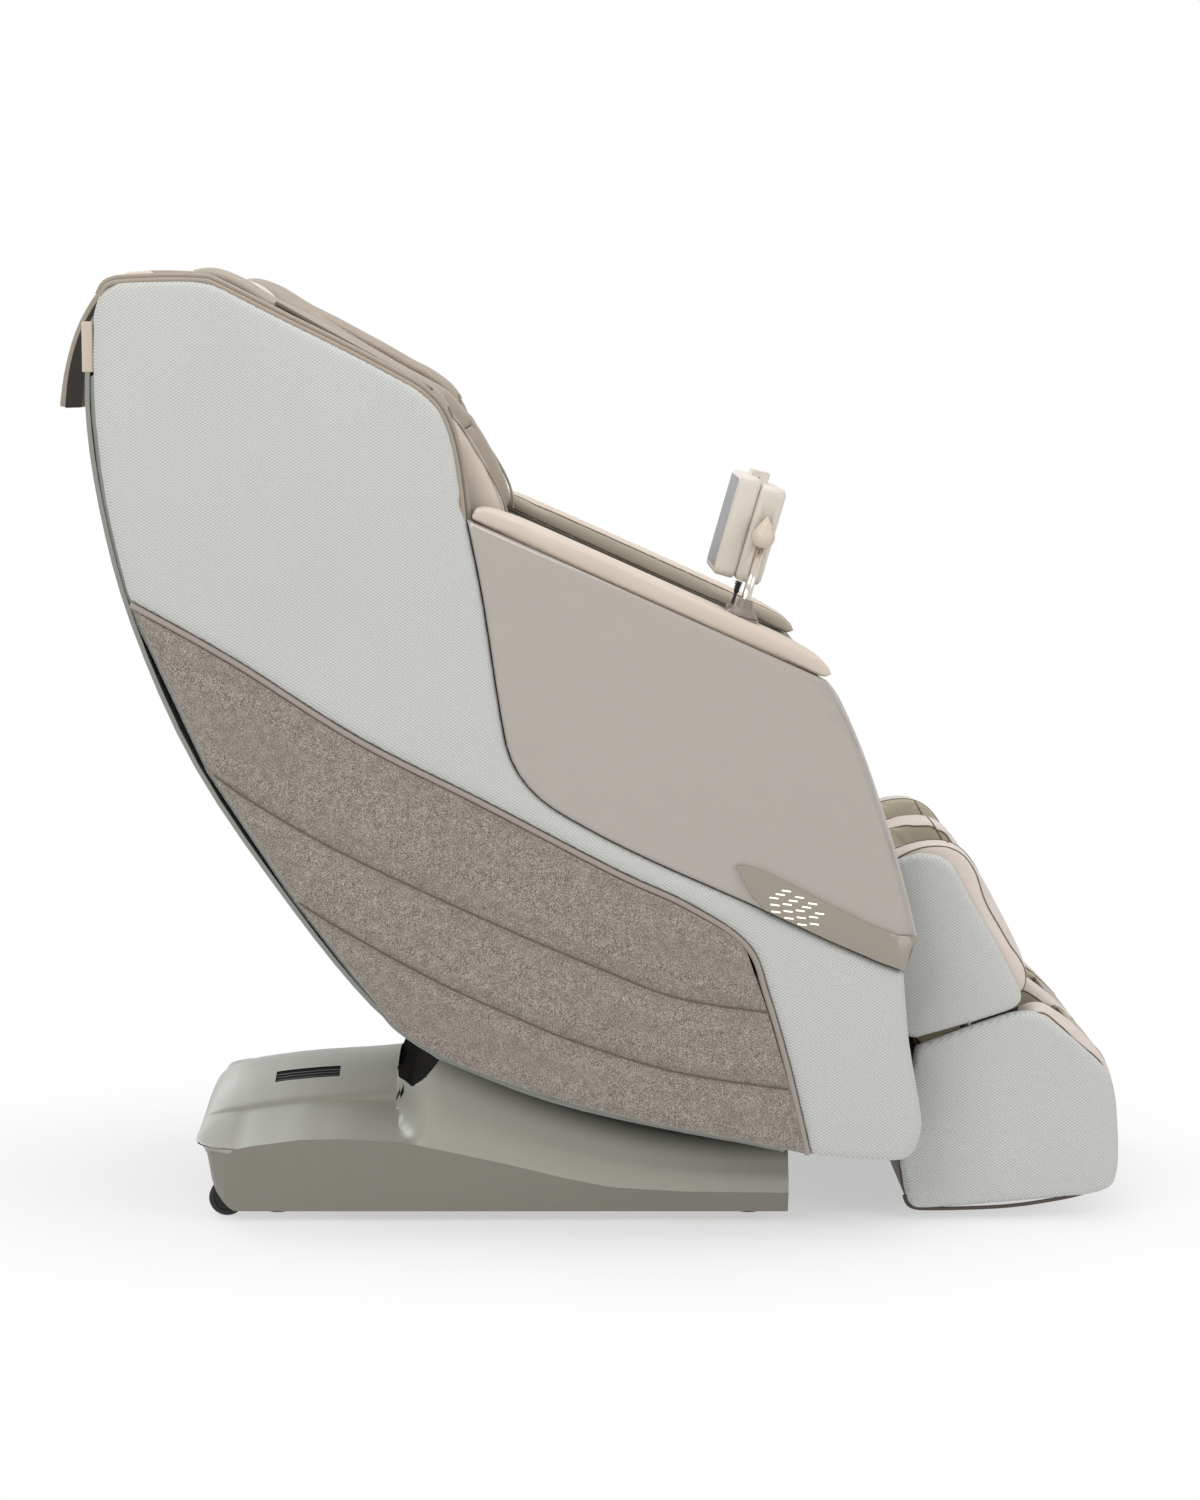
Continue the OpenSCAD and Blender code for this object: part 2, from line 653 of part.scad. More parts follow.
module drive_rack() {
    first = ceil(rack_from / 360 * rack_teeth);
    last = floor(rack_to / 360 * rack_teeth);
    phase = pinion_angle / 360 * rack_teeth;
    offset_teeth = phase - floor(phase);
    color("#a7a9ad") difference() {
        on_right() translate([pivot_x, pivot_z, 0]) mirror([1, 0, 0]) slab(concat(
            [for (i = [first : last]) each rack_tooth(i + offset_teeth)],
            [for (a = [rack_to + 1 : -1.5 : rack_from - 1]) rack_in * [sin(a), -cos(a)]]), -11, 11);
        cross_tubes(shell_in);
    }
}

track_h = 24;
track_w = 22;

module massage_track() {
    y0 = plate_y - track_w;
    color("#85888c") on_both() difference() {
        arc_bar(track_r - track_h / 2, track_r + track_h / 2, 37, 103, y0, plate_y);
        arc_bar(track_r - track_h / 2 + 4, track_r + track_h / 2 - 4, 36, 104, y0 - 1, plate_y - 4);
    }
}

shell_outline = ccw(cleaned(concat(
    rear_line, belly_line,
    [[400, 368], [421, 412], [398, 506], [370, 592], [345, 664], [302, 740]],
    [arm_front - arm_up - 8 * arm_dir, arm_back - arm_up - 8 * arm_dir],
    [[-184, 1060], [-203, 1113], [-237, 1143], [-486, 1270], [-524, 1277], [-610, 1274], [-643, 1260]])));

module side_shell() {
    difference() {
        slab(shell_outline, shell_in, rim_out);
        slab(inset(shell_outline, shell_wall), shell_in + shell_wall, rim_out + 1);
    }
    // Ribs that back the panels
    for (p = [[[-560, 900], [-250, 1080]], [[-430, 640], [-160, 800]], [[-200, 330], [-60, 520]], [[120, 180], [180, 400]]])
        let (n = 3 * left_of(unit(p[1] - p[0])))
        slab([p[0] - n, p[1] - n, p[1] + n, p[0] + n], shell_in + shell_wall, rim_out - 0.2);
}

module side_shell_right() {
    color("#8c8f88") on_right() side_shell();
}

module side_shell_left() {
    color("#8c8f88") on_left() side_shell();
}

// Upper side panel: one upholstered board from the head down the front to the knee
side_panel_outline = concat(
    shift(border_line, welt_r + touch), toe_line, shift(arm_line, seam_gap / 2),
    shoulder_line, crown_line, nape_line);

module side_panel() {
    lofted(side_panel_outline, rounded_rim(rim_out, panel_out, panel_round));
}

module side_panel_right() {
    color("#cbd2cd") on_right() side_panel();
}

module side_panel_left() {
    color("#cbd2cd") on_left() side_panel();
}

// Lower side panel: three quilted channels between the border and the belly
quilt_cols = 24;
quilt_steps = 4;
quilt_edges = [
    [for (i = [0 : quilt_cols]) border_line[i]],
    spline([[-512, 636], [-443, 588], [-330, 524], [-154, 441], [-9, 378], [110, 332], border_line[29]], 4),
    spline([[-400, 464], [-330, 420], [-207, 352], [-100, 303], [-25, 272], [110, 231], border_line[33]], 4),
    spline([[-272, 296], [-213, 256], [-120, 217], [-20, 185], [80, 160], [180, 141], border_line[36]], 4)];

function quilt_row(k) = let (b = min(floor(k / quilt_steps), 2), t = k / quilt_steps - b,
        low = k == 0 ? welt_r + touch : 0)
    [for (i = [0 : quilt_cols])
        let (p = quilt_edges[b][i] * (1 - t) + quilt_edges[b + 1][i] * t,
            q = k == 0 ? shift(quilt_edges[0], -low)[i] : p,
            s = sin(180 * t), end = min(1, i / 2, (quilt_cols - i) / 2),
            z = panel_out - quilt_puff + quilt_puff * pow(s, 0.6) * pow(end, 0.5))
        [q[0] - (i == quilt_cols ? welt_r + touch : 0) + (i == 0 ? 2 : 0), q[1], k == 0 ? z + 2 : z]];

module lower_panel() {
    rows = [for (k = [0 : 3 * quilt_steps]) quilt_row(k)];
    cols = quilt_cols + 1;
    last = len(rows) - 1;
    rim = concat([for (i = [0 : quilt_cols]) [0, i]], [for (k = [1 : last]) [k, quilt_cols]],
        [for (i = [quilt_cols - 1 : -1 : 0]) [last, i]], [for (k = [last - 1 : -1 : 1]) [k, 0]]);
    n = len(rim);
    top = [for (r = rows) each r];
    low = [for (e = rim) [rows[e[0]][e[1]][0], rows[e[0]][e[1]][1], rim_out]];
    back = [for (i = [n - 1 : -1 : 0]) n - 1 - (n - 1 - i)];
    flat = [for (t = triangles([for (i = back) low[i]])) [back[t[0]], back[t[1]], back[t[2]]]];
    polyhedron(concat(top, low), concat(
        [for (k = [0 : last - 1]) for (i = [0 : quilt_cols - 1])
            let (a = k * cols + i) each [[a, a + 1, a + cols + 1], [a, a + cols + 1, a + cols]]],
        [for (i = [0 : n - 1])
            let (j = (i + 1) % n, a = rim[i][0] * cols + rim[i][1], b = rim[j][0] * cols + rim[j][1],
                c = cols * len(rows) + i, d = cols * len(rows) + j)
            each [[b, a, c], [b, c, d]]],
        [for (t = flat) [cols * len(rows) + t[0], cols * len(rows) + t[1], cols * len(rows) + t[2]]]));
}

module lower_panel_right() {
    color("#8f8580") on_right() lower_panel();
}

module lower_panel_left() {
    color("#8f8580") on_left() lower_panel();
}

module panel_welts() {
    color("#9a9089") on_both() swept(border_line, panel_out - welt_r - 1, welt_r);
}

arm_fascia_outline = concat(flip(shift(arm_line, -seam_gap / 2)), [[412, 369]], flip(arm_nose));

module arm_fascia() {
    lofted(arm_fascia_outline, rounded_rim(rim_out, panel_out, fascia_round));
}

module arm_fascia_right() {
    color("#ada69f") on_right() arm_fascia();
}

module arm_fascia_left() {
    color("#ada69f") on_left() arm_fascia();
}

light_bar_outline = [[185, 512], [196, 513], [224, 504], [310, 460], [364, 433], [400, 419],
    [427, 416], [411, 370], [378, 382], [311, 411], [224, 452], [204, 474]];

module light_bars() {
    color("#928a7d") on_both()
        lofted(light_bar_outline, [[panel_out, 0], [bar_out - 2, 0], [bar_out - 0.6, 0.6], [bar_out, 2]]);
}

function on_arm(from, along, up) = from + along * arm_dir + up * arm_up;
arm_pad_outline = [on_arm(arm_back, 2, 3 * touch), on_arm(arm_front, -4, 0.3), on_arm(arm_front, 5, 9),
    on_arm(arm_front, -3, 18), on_arm(arm_front, -20, arm_pad_h - 3), on_arm(arm_front, -55, arm_pad_h - 0.5),
    on_arm(arm_front, -90, arm_pad_h), on_arm(arm_back, 60, arm_pad_h), on_arm(arm_back, 16, arm_pad_h - 2),
    on_arm(arm_back, 3, arm_pad_h - 10)];

module arm_pad() {
    lofted(arm_pad_outline, rounded_ends(shell_in + 0.3, panel_out - 0.5, 6));
}

module arm_pad_right() {
    color("#c7bbae") difference() {
        on_right() arm_pad();
        post_frame() translate([0, 0, -20]) cylinder(h = 60, r = mount_r + touch, $fn = 64);
    }
}

module arm_pad_left() {
    color("#c7bbae") on_left() arm_pad();
}

liner_t = 16;
liner_y = shell_in - 70;

module arm_liner() {
    top_a = arm_back + 62 * arm_dir - 26 * arm_up;
    top_b = arm_front - 4 * arm_dir - 26 * arm_up;
    lofted(concat([[-138, 505], [280, 530], [296, 560]], [top_b, top_a]),
        rounded_ends(liner_y, liner_y + liner_t, 6));
    back = top_a + 30 * arm_dir;
    slab([back - 120 * arm_up, back - 132 * arm_up, top_b - 132 * arm_up, top_b - 120 * arm_up],
        liner_y + liner_t - 2, shell_in);
}

module arm_liners() {
    color("#b5aa9d") on_both() arm_liner();
}

wing_outline = concat(
    spline([[-150, 500], [-165, 700], [-168, 880], [-140, 935], [-112, 975], [-155, 1071], [-208, 1137]], 3),
    spline([[-208, 1137], [-328, 1206], [-461, 1284], [-507, 1302], [-538, 1292], [-552, 1262]], 3),
    spline([[-560, 1180], [-522, 1000], [-480, 840], [-400, 680], [-300, 560], [-220, 492]], 3));

module shoulder_wing() {
    lofted(wing_outline, rounded_ends(liner_y + 4, shell_in - 0.3, 14));
}

module shoulder_wing_right() {
    color("#c7bbae") on_right() shoulder_wing();
}

module shoulder_wing_left() {
    color("#c7bbae") on_left() shoulder_wing();
}

// Slots that let the roller brackets and the drive pass under the rocking shell
module rocker_slots() {
    for (side = [-1, 1])
        translate([-620, side * (rail_y + 16) - 24, 60]) cube([810, 48, 575]);
    translate([-620, -48, 60]) cube([672, 96, 475]);
}

// Cuts all that lies past the mitre between the back shell and the belly cover, ahead of it or behind it
module past_mitre(ahead) {
    n = len(rear_line);
    run = unit(unit(rear_line[n - 1] - rear_line[n - 2]) + unit(belly_line[1] - belly_line[0]));
    near = belly_line[0] - ahead * touch / 2 * run;
    far = near + ahead * 60 * run;
    side = 40 * left_of(run);
    across([near - side, far - side, far + side, near + side], shell_in);
}

module back_shell() {
    color("#8c8f88") difference() {
        across(band(shift(rear_line, 6), cover_sheet), shell_in - 0.3);
        past_mitre(1);
        rocker_slots();
        for (k = [-3 : 3]) translate([-700, k * 26 - 4, 1010]) cube([60, 8, 120]);
    }
}

module belly_cover() {
    color("#5b554e") difference() {
        across(band(shift(belly_line, 6), cover_sheet), shell_in - 0.3);
        past_mitre(-1);
        rocker_slots();
    }
}

module top_trim() {
    line = spline([[-664, 1228], [-655, 1262], [-634, 1283], [-606, 1289], [-548, 1290]], 4);
    color("#c7bbae") {
        across(band(line, -9), shell_in - 0.3);
        on_both() slab([[-634, 1284], [-628, 1294], [-598, 1296], [-590, 1290]], 226, 276);
    }
}

cushion_rear = track_r - 88;
back_half = liner_y + 3.7;
seat_half = liner_y - 0.3;

module back_cushion() {
    face = spline([[-158, 510], [-205, 610], [-292, 735], [-352, 850], [-408, 990], [-450, 1110],
        [-495, 1215], [-520, 1272]], 3);
    rear = [for (a = [96 : -8 : 40]) on_orbit(a, cushion_rear)];
    color("#c2b6a8") on_right() lofted(concat(face, [[-534, 1274], [-530, 1250], [-520, 1200], [-506, 1168]], rear),
        [[-back_half, 5], [-back_half + 2, 2], [-back_half + 12, 0], [-110, 0], [110, 0],
            [back_half - 12, 0], [back_half - 2, 2], [back_half, 5]]);
}

module seat_cushion() {
    outline = concat(spline([[-146, 470], [-142, 500], [-110, 512], [-20, 516], [110, 530], [230, 549],
        [300, 556], [330, 545], [341, 515], [337, 480], [318, 462]], 3), [[300, 444.4], [-122, 424.6], [-140, 440]]);
    color("#c2b6a8") on_right() lofted(outline,
        [[-seat_half, 14], [-seat_half + 5, 6], [-seat_half + 26, 1], [-100, 0], [0, 3], [100, 0],
            [seat_half - 26, 1], [seat_half - 5, 6], [seat_half, 14]]);
}

module head_pillow() {
    color("#cdc2b5") on_right() lofted(
        concat(spline([[-530, 1291], [-508, 1297], [-484, 1285], [-455, 1250], [-427, 1195], [-408, 1130], [-408, 1090],
            [-418, 1069]], 3), [[-433, 1074]], spline([[-448.7, 1109.9], [-493.7, 1214.9], [-511, 1265], [-519, 1276], [-531, 1280]], 3)),
        [[-205, 5], [-200, 2], [-180, 0], [-80, 0], [80, 0], [180, 0], [200, 2], [205, 5]]);
}

module pillow_flap() {
    outer = spline([[-545, 1297], [-600, 1298], [-642, 1292], [-672, 1272], [-694, 1240], [-708, 1205],
        [-717, 1164], [-721, 1122]], 3);
    inner = spline([[-692, 1120], [-690, 1170], [-686, 1215], [-677, 1243], [-660, 1268], [-638, 1284.5],
        [-606, 1289.6], [-545, 1290.4]], 3);
    color("#8d8376") on_right() lofted(concat(outer, inner), rounded_ends(-205, 205, 3));
}

module lift_actuator() {
    bore_x = 150;
    nose_x = 296;
    color("#3a3b3d") difference() {
        union() {
            translate([actuator_x0 + 14, 0, rod_z]) rotate([0, 90, 0])
                cylinder(h = nose_x - actuator_x0 - 14, r = 21, $fn = 64);
            translate([actuator_x0, 11, rod_z]) rotate([90, 0, 0]) cylinder(h = 22, r = 16, $fn = 48);
            translate([actuator_x0 + 20, -20, rod_z - 44]) cube([90, 40, 26]);
        }
        bar([actuator_x0, rod_z], tube_r, 30);
        translate([bore_x, 0, rod_z]) rotate([0, 90, 0]) cylinder(h = 200, r = rod_r + running, $fn = 48);
    }
}

rod_r = 9;
clevis_in = 9.5;
clevis_t = 7;

module actuator_rod() {
    slot_half = lever_pin_r + 1;
    slot_top = lever_pin[1] + lever_pin_r + 1.2;
    slot_low = lever_low - lever_pin_r - 1.2;
    eye_x = lever_pin[0];
    color("#c4c7ca") {
        translate([152, 0, rod_z]) rotate([0, 90, 0]) cylinder(h = eye_x - 22 - 152, r = rod_r, $fn = 48);
        translate([eye_x - 26, -clevis_in - clevis_t, rod_z - 9]) cube([8, 2 * (clevis_in + clevis_t), 18]);
        on_both() difference() {
            slab([[eye_x - 26, rod_z - 9], [eye_x - 13, slot_low - 5], [eye_x + 12, slot_low - 5],
                [eye_x + 12, slot_top + 5], [eye_x - 13, slot_top + 5], [eye_x - 26, rod_z + 9]],
                clevis_in, clevis_in + clevis_t);
            slab([[eye_x - slot_half, slot_low], [eye_x + slot_half, slot_low], [eye_x + slot_half, slot_top],
                [eye_x - slot_half, slot_top]], clevis_in - 1, clevis_in + clevis_t + 1);
        }
    }
}

// ---- massage carriage ----

carriage_angle = 72;

// Carriage frame: origin on the track, x away from the rocking centre, y up the track, z outwards
module carriage_frame() {
    c = on_orbit(carriage_angle, track_r);
    on_right() translate([c[0], c[1], 0]) rotate([0, 0, 270 - carriage_angle]) mirror([0, 1, 0]) children();
}

knead_x = -52;
guide_wheel_r = 7.6;

module massage_carriage() {
    sag = sqrt(track_r * track_r - 70 * 70) - track_r;
    color("#55585c") carriage_frame() difference() {
        union() {
            translate([-26, -85, -150]) cube([6, 170, 300]);
            for (s = [-1, 1]) {
                for (y = [-70, 70]) {
                    translate([-20, y - 12, s > 0 ? 140 : -150]) cube([22, 24, 10]);
                    translate([sag, y, s > 0 ? 148 : -202]) cylinder(h = 54, r = 4, $fn = 32);
                    translate([sag, y, s > 0 ? 190 : -202]) cylinder(h = 12, r = guide_wheel_r, $fn = 48);
                }
                translate([knead_x - 14, -16, s > 0 ? 118 : -130]) cube([40, 32, 12]);
                translate([-20, 26, s > 0 ? 20 : -100]) cube([24, 50, 80]);
            }
            translate([-46, -56, -60]) cylinder(h = 120, r = 22, $fn = 64);
        }
        translate([knead_x, 0, -140]) cylinder(h = 280, r = knead_shaft_r + running, $fn = 48);
    }
}

module kneading_rollers() {
    color("#d8cfc0") carriage_frame() translate([knead_x, 0, 0]) {
        translate([0, 0, -132]) cylinder(h = 264, r = knead_shaft_r, $fn = 48);
        for (z = [-95, -45, 45, 95]) translate([0, 0, z - 11]) rotate_extrude($fn = 96)
            polygon([[knead_shaft_r - 1, 0], [knead_r - 5, 0], [knead_r - 1, 4], [knead_r, 11], [knead_r - 1, 18],
                [knead_r - 5, 22], [knead_shaft_r - 1, 22]]);
    }
}

// ---- leg rest: calf unit ----

calf_panel_outline = concat(
    spline([[392, 470], [404, 494], [422, 504], [444, 509], [469, 506], [487, 494]], 3),
    spline([[487, 494], [525, 426], [553, 378], [578, 329]], 2),
    spline([[578, 329], [585, 312], [578, 299], [561, 290.5], [500, 271.5], [438, 254]], 3),
    [[416, 262], [402, 340], [390, 430]]);

module calf_panels() {
    color("#cbd2cd") on_both()
        lofted(calf_panel_outline, rounded_rim(leg_half - leg_panel_t, leg_half, 8));
}

calf_pad_outline = concat(
    spline([[pad_plane, 34], [66, 35], [100, 27], [124, 12], [138, -10], [142, -36]], 3),
    spline([[142, -36], [142, -171], [138, -198], [126, -216], [100, -226]], 3),
    [[pad_plane, -204]]);

module calf_pads() {
    color("#a59d88") difference() {
        leg_frame() on_right() lofted(calf_pad_outline, rounded_ends(-pad_half, pad_half, 8));
        leg_frame() for (side = [-1, 1]) {
            translate([100, side * calf_well_y, -260]) cylinder(h = 330, r = calf_well_r, $fn = 96);
            translate([100, side * calf_well_y - calf_well_r, -260]) cube([80, 2 * calf_well_r, 330]);
            translate([slide_n, side * slide_y, -260]) cylinder(h = 252, r = guide_r + touch, $fn = 48);
        }
        guide_lugs(touch);
        for (side = [-1, 1])
            bar_at(knee, 42, side * (plate_y + plate_t / 2), plate_t / 2 + 3);
    }
}

// A short round bar along Y, centred at level y
module bar_at(p, r, y, half) {
    translate([p[0], y - half, p[1]]) rotate([-90, 0, 0]) cylinder(h = 2 * half, r = r, $fn = 96);
}

frame_top = -10;
frame_low = -196;
arm_in = 190;
arm_t = 12;

// Lugs that carry the guide tubes on the arms
module guide_lugs(grow) {
    leg_frame() for (side = [-1, 1]) for (z = [frame_low, -90])
        translate([-9, (side > 0 ? arm_in : -slide_y - 6) - grow, z - grow])
            cube([slide_n + 4 + grow, slide_y + 6 - arm_in + 2 * grow, 10 + 2 * grow]);
}

module calf_frame() {
    lever_t = 8;
    color("#45474b") {
        difference() {
            union() {
                bar(knee, knee_tube_r, slide_y - guide_r - 4);
                leg_frame() for (side = [-1, 1]) {
                    translate([-9, side * (arm_in + arm_t / 2) - arm_t / 2, frame_low]) cube([20, arm_t, 4 - frame_low]);
                    translate([slide_n, side * slide_y, frame_low]) cylinder(h = frame_top - 30 - frame_low, r = guide_r, $fn = 48);
                }
                guide_lugs(0);
                leg_frame() for (z = [frame_low, -100]) translate([-9, -arm_in, z]) cube([18, 2 * arm_in, 14]);
            }
            leg_frame() for (side = [-1, 1]) translate([slide_n, side * slide_y, -300])
                cylinder(h = 400, r = slide_rod_r + running, $fn = 48);
        }
        // Lever that the lift actuator pushes
        bar(lever_pin, lever_pin_r, clevis_in + clevis_t + 3);
        on_right() linear_extrude(lever_t, center = true) polygon([
            knee + 14 * left_of(unit(lever_pin - knee)), lever_pin + 10 * left_of(unit(lever_pin - knee)),
            lever_pin + 8 * unit(lever_pin - knee), lever_pin - 10 * left_of(unit(lever_pin - knee)),
            knee - 14 * left_of(unit(lever_pin - knee))]);
    }
}

module calf_back_cover() {
    line = spline([[388, 404], [396, 380], [404, 345], [418, 264], [440, 257], [470, 266]], 4);
    color("#4a3f37") across(band(line, 4), pad_half);
}

// ---- leg rest: foot unit ----

foot_panel_outline = concat(
    spline([[440, 242], [500, 265], [552, 283.5], [582, 291], [608, 288], [640, 267], [690, 223]], 3),
    spline([[690, 223], [708, 201], [717, 162], [721, 100], [719, 64], [709, 44], [676, 34]], 3),
    spline([[676, 34], [559, 24], [462, 16], [438, 18], [430, 30]], 2),
    [[421, 82], [430, 190]]);

module foot_panels() {
    color("#cbd2cd") on_both()
        lofted(foot_panel_outline, rounded_rim(leg_half - leg_panel_t, leg_half, 8));
}

module foot_pads() {
    outline = concat([[436, 70], [451, 236]],
        spline([[560, 280], [592, 292], [622, 296], [674, 254], [700, 228], [713, 204], [717, 160], [715, 80]], 3),
        [[697, 46], [560, 32], [462, 24], [436, 28]]);
    well = concat([[462, 340], [452, 110]], [for (a = [180 : 22.5 : 270]) [484, foot_floor + 32] + 32 * [cos(a), sin(a)]],
        [for (a = [270 : 22.5 : 360]) [656, foot_floor + 34] + 34 * [cos(a), sin(a)]], [[693, 190], [652, 300]]);
    color("#b3a999") difference() {
        on_right() lofted(outline, rounded_ends(-pad_half, pad_half, 8));
        for (side = [-1, 1]) {
            translate([0, side * foot_well_y, 0]) across(well, foot_well_w / 2);
            leg_frame() translate([slide_n, side * slide_y, -330]) cylinder(h = 350, r = slide_rod_r, $fn = 48);
            for (x = foot_roller_x)
                bar_at([x, foot_roller_z], foot_roller_r + 3, side * foot_well_y, foot_well_w / 2);
        }
        for (x = foot_roller_x) bar([x, foot_roller_z], 6 + running, pad_half - 12);
    }
}

module foot_roller(x) {
    color("#6b6459") {
        bar([x, foot_roller_z], 6, pad_half - 14);
        for (side = [-1, 1]) for (k = [-2 : 2])
            translate([x, side * foot_well_y + k * 30 - 13, foot_roller_z]) rotate([-90, 0, 0])
                rotate_extrude($fn = 64) polygon([[4, 0], [foot_roller_r - 5, 0], [foot_roller_r, 7],
                    [foot_roller_r, 19], [foot_roller_r - 5, 26], [4, 26]]);
    }
}

module foot_roller_heel() {
    foot_roller(foot_roller_x[0]);
}

module foot_roller_arch() {
    foot_roller(foot_roller_x[1]);
}

module foot_frame() {
    rod_top = -12;
    color("#c4c7ca") for (side = [-1, 1]) leg_frame()
        translate([slide_n, side * slide_y, -330]) cylinder(h = 330 + rod_top, r = slide_rod_r, $fn = 48);
}

module foot_sole() {
    line = spline([[444, 236], [430, 150], [420, 82], [429, 30], [440, 19], [462, 17], [560, 25], [676, 35], [690, 39]], 3);
    color("#4a3f37") across(band(line, 5), pad_half);
}

// ---- tablet ----

mount_r = 24;

// Post frame: origin on the arm pad under the post, z up the post
module post_frame() {
    translate([post_foot[0], post_y, post_foot[1]]) rotate([0, post_lean, 0]) children();
}

pin_r = 5;
spigot_r = 8;
spigot_h = 16;
cone_h = 24;

module tablet_mount() {
    color("#5e554c") post_frame() difference() {
        translate([0, 0, -20]) cylinder(h = 22, r = mount_r, $fn = 64);
        translate([0, 0, 2 - spigot_h]) cylinder(h = spigot_h + 1, r = spigot_r + running, $fn = 48);
    }
}

module tablet_post() {
    color("#cfc3ba") {
        post_frame() {
            translate([0, 0, 3 - spigot_h]) cylinder(h = spigot_h, r = spigot_r, $fn = 48);
            translate([0, 0, 2 + touch]) rotate_extrude($fn = 96) polygon([[0, 0], [22, 0], [21, 4], [13, 12],
                [9.5, cone_h], [0, cone_h]]);
            translate([-21, 0, 5]) cube([14, 33, 9]);
            translate([0, 0, 6]) cylinder(h = post_h - 12, r = post_r, $fn = 48);
        }
        // Teardrop knuckle with the tilt pin
        translate([0, post_y, 0]) on_right()
            slab(concat([for (a = [-205 : 15 : 25]) tilt_pivot + knuckle_r * [cos(a), sin(a)]],
                [tilt_pivot + [6, 1.8 * knuckle_r]]), -13, 13);
        translate([tilt_pivot[0], post_y + 4, tilt_pivot[1]]) rotate([-90, 0, 0]) cylinder(h = 40, r = pin_r, $fn = 48);
    }
}

// Tablet frame: origin at the tilt pivot, x away from the sitter, z up the screen
module tablet_frame() {
    translate([tilt_pivot[0], dock_y, tilt_pivot[1]]) rotate([0, tablet_lean, 0]) children();
}

dock_gap = 9.4;
tablet_x = -50;
tablet_z = -66;
screen_t = 2;

function rounded_box(w, h, r) = [for (c = [[w - r, h - r, 0], [r, h - r, 90], [r, r, 180], [w - r, r, 270]])
    for (a = [0 : 22.5 : 90]) [c[0] + r * cos(c[2] + a), c[1] + r * sin(c[2] + a)]];

// A block in the tablet frame that is rounded across its width, from level x0 to x1
module housing(x0, x1, w, h, r, soft) {
    translate([0, dock_gap - 18, tablet_z]) rotate([90, 0, 90]) lofted(rounded_box(w, h, r),
        concat([[x0, soft], [x0 + 0.4 * soft, 0.3 * soft], [x0 + soft, 0]], [[x1 - soft, 0],
            [x1 - 0.4 * soft, 0.3 * soft], [x1, soft]]));
}

back_x = tablet_x + tablet_front_t;

module tablet_case() {
    color("#cfc9be") tablet_frame() difference() {
        housing(tablet_x, back_x, tablet_w, tablet_h, 12, 5);
        translate([tablet_x - 1, dock_gap - 10, tablet_z + 8]) cube([screen_t + 1, tablet_w - 16, tablet_h - 16]);
    }
}

module tablet_dock() {
    color("#c4bdb1") tablet_frame() difference() {
        union() {
            housing(back_x, back_x + tablet_dock_t, tablet_w, tablet_h - 6, 12, 6);
            // Hook that holds the tablet's top edge
            translate([back_x, tablet_w / 2 - 45, tablet_z + tablet_h - 14]) cube([12, 70, 22]);
            translate([back_x - 12, tablet_w / 2 - 45, tablet_z + tablet_h]) cube([24, 70, 8]);
            // Ribbed strain relief
            for (k = [0 : 4]) translate([relief_x, cable_y - dock_y, tablet_z - 3 - 3 * k])
                cylinder(h = 2, r = 5 - 0.3 * k, $fn = 32);
            translate([relief_x, cable_y - dock_y, tablet_z - 17]) cylinder(h = 30, r = 3, $fn = 32);
        }
        translate([0, -20, 0]) rotate([-90, 0, 0]) cylinder(h = 38, r = pin_r + running, $fn = 48);
    }
}

module tablet_screen() {
    color("#20242a") tablet_frame() translate([tablet_x, dock_gap - 9.8, tablet_z + 8.2])
        cube([screen_t, tablet_w - 16.4, tablet_h - 16.4]);
}

cable_r = 2.2;
cable_y = -322;
relief_x = -12;

// From the strain relief down to the tail of the post
module tablet_cable() {
    a = tilt_pivot + [[cos(tablet_lean), sin(tablet_lean)] * [relief_x, tablet_z - 18.2],
        [-sin(tablet_lean), cos(tablet_lean)] * [relief_x, tablet_z - 18.2]];
    b = post_foot + [[cos(post_lean), sin(post_lean)] * [-14, 14.4], [-sin(post_lean), cos(post_lean)] * [-14, 14.4]];
    color("#181818") translate([0, cable_y, 0]) on_right()
        swept(spline([a, a - 5 * [sin(tablet_lean), cos(tablet_lean)], b + 5 * [sin(post_lean), cos(post_lean)], b], 4),
            0, cable_r, 10);
}

base_frame();
base_cover();
vent_grilles();
base_feet();
drive_unit();
air_pump();
control_box();
mains_inlet();
power_switch();
wheel_right();
wheel_left();
drive_pinion();
front_guide_rollers();
rear_guide_rollers();
seat_frame();
rocker_rails();
drive_rack();
massage_track();
side_shell_right();
side_shell_left();
side_panel_right();
side_panel_left();
lower_panel_right();
lower_panel_left();
panel_welts();
arm_fascia_right();
arm_fascia_left();
light_bars();
arm_pad_right();
arm_pad_left();
arm_liners();
shoulder_wing_right();
shoulder_wing_left();
back_shell();
belly_cover();
top_trim();
back_cushion();
seat_cushion();
head_pillow();
pillow_flap();
lift_actuator();
massage_carriage();
kneading_rollers();
actuator_rod();
calf_frame();
calf_panels();
calf_pads();
calf_back_cover();
foot_frame();
foot_panels();
foot_pads();
foot_sole();
foot_roller_heel();
foot_roller_arch();
tablet_mount();
tablet_post();
tablet_dock();
tablet_case();
tablet_screen();
tablet_cable();
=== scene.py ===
import math

import bmesh
import bpy
import numpy as np
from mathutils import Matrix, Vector, noise


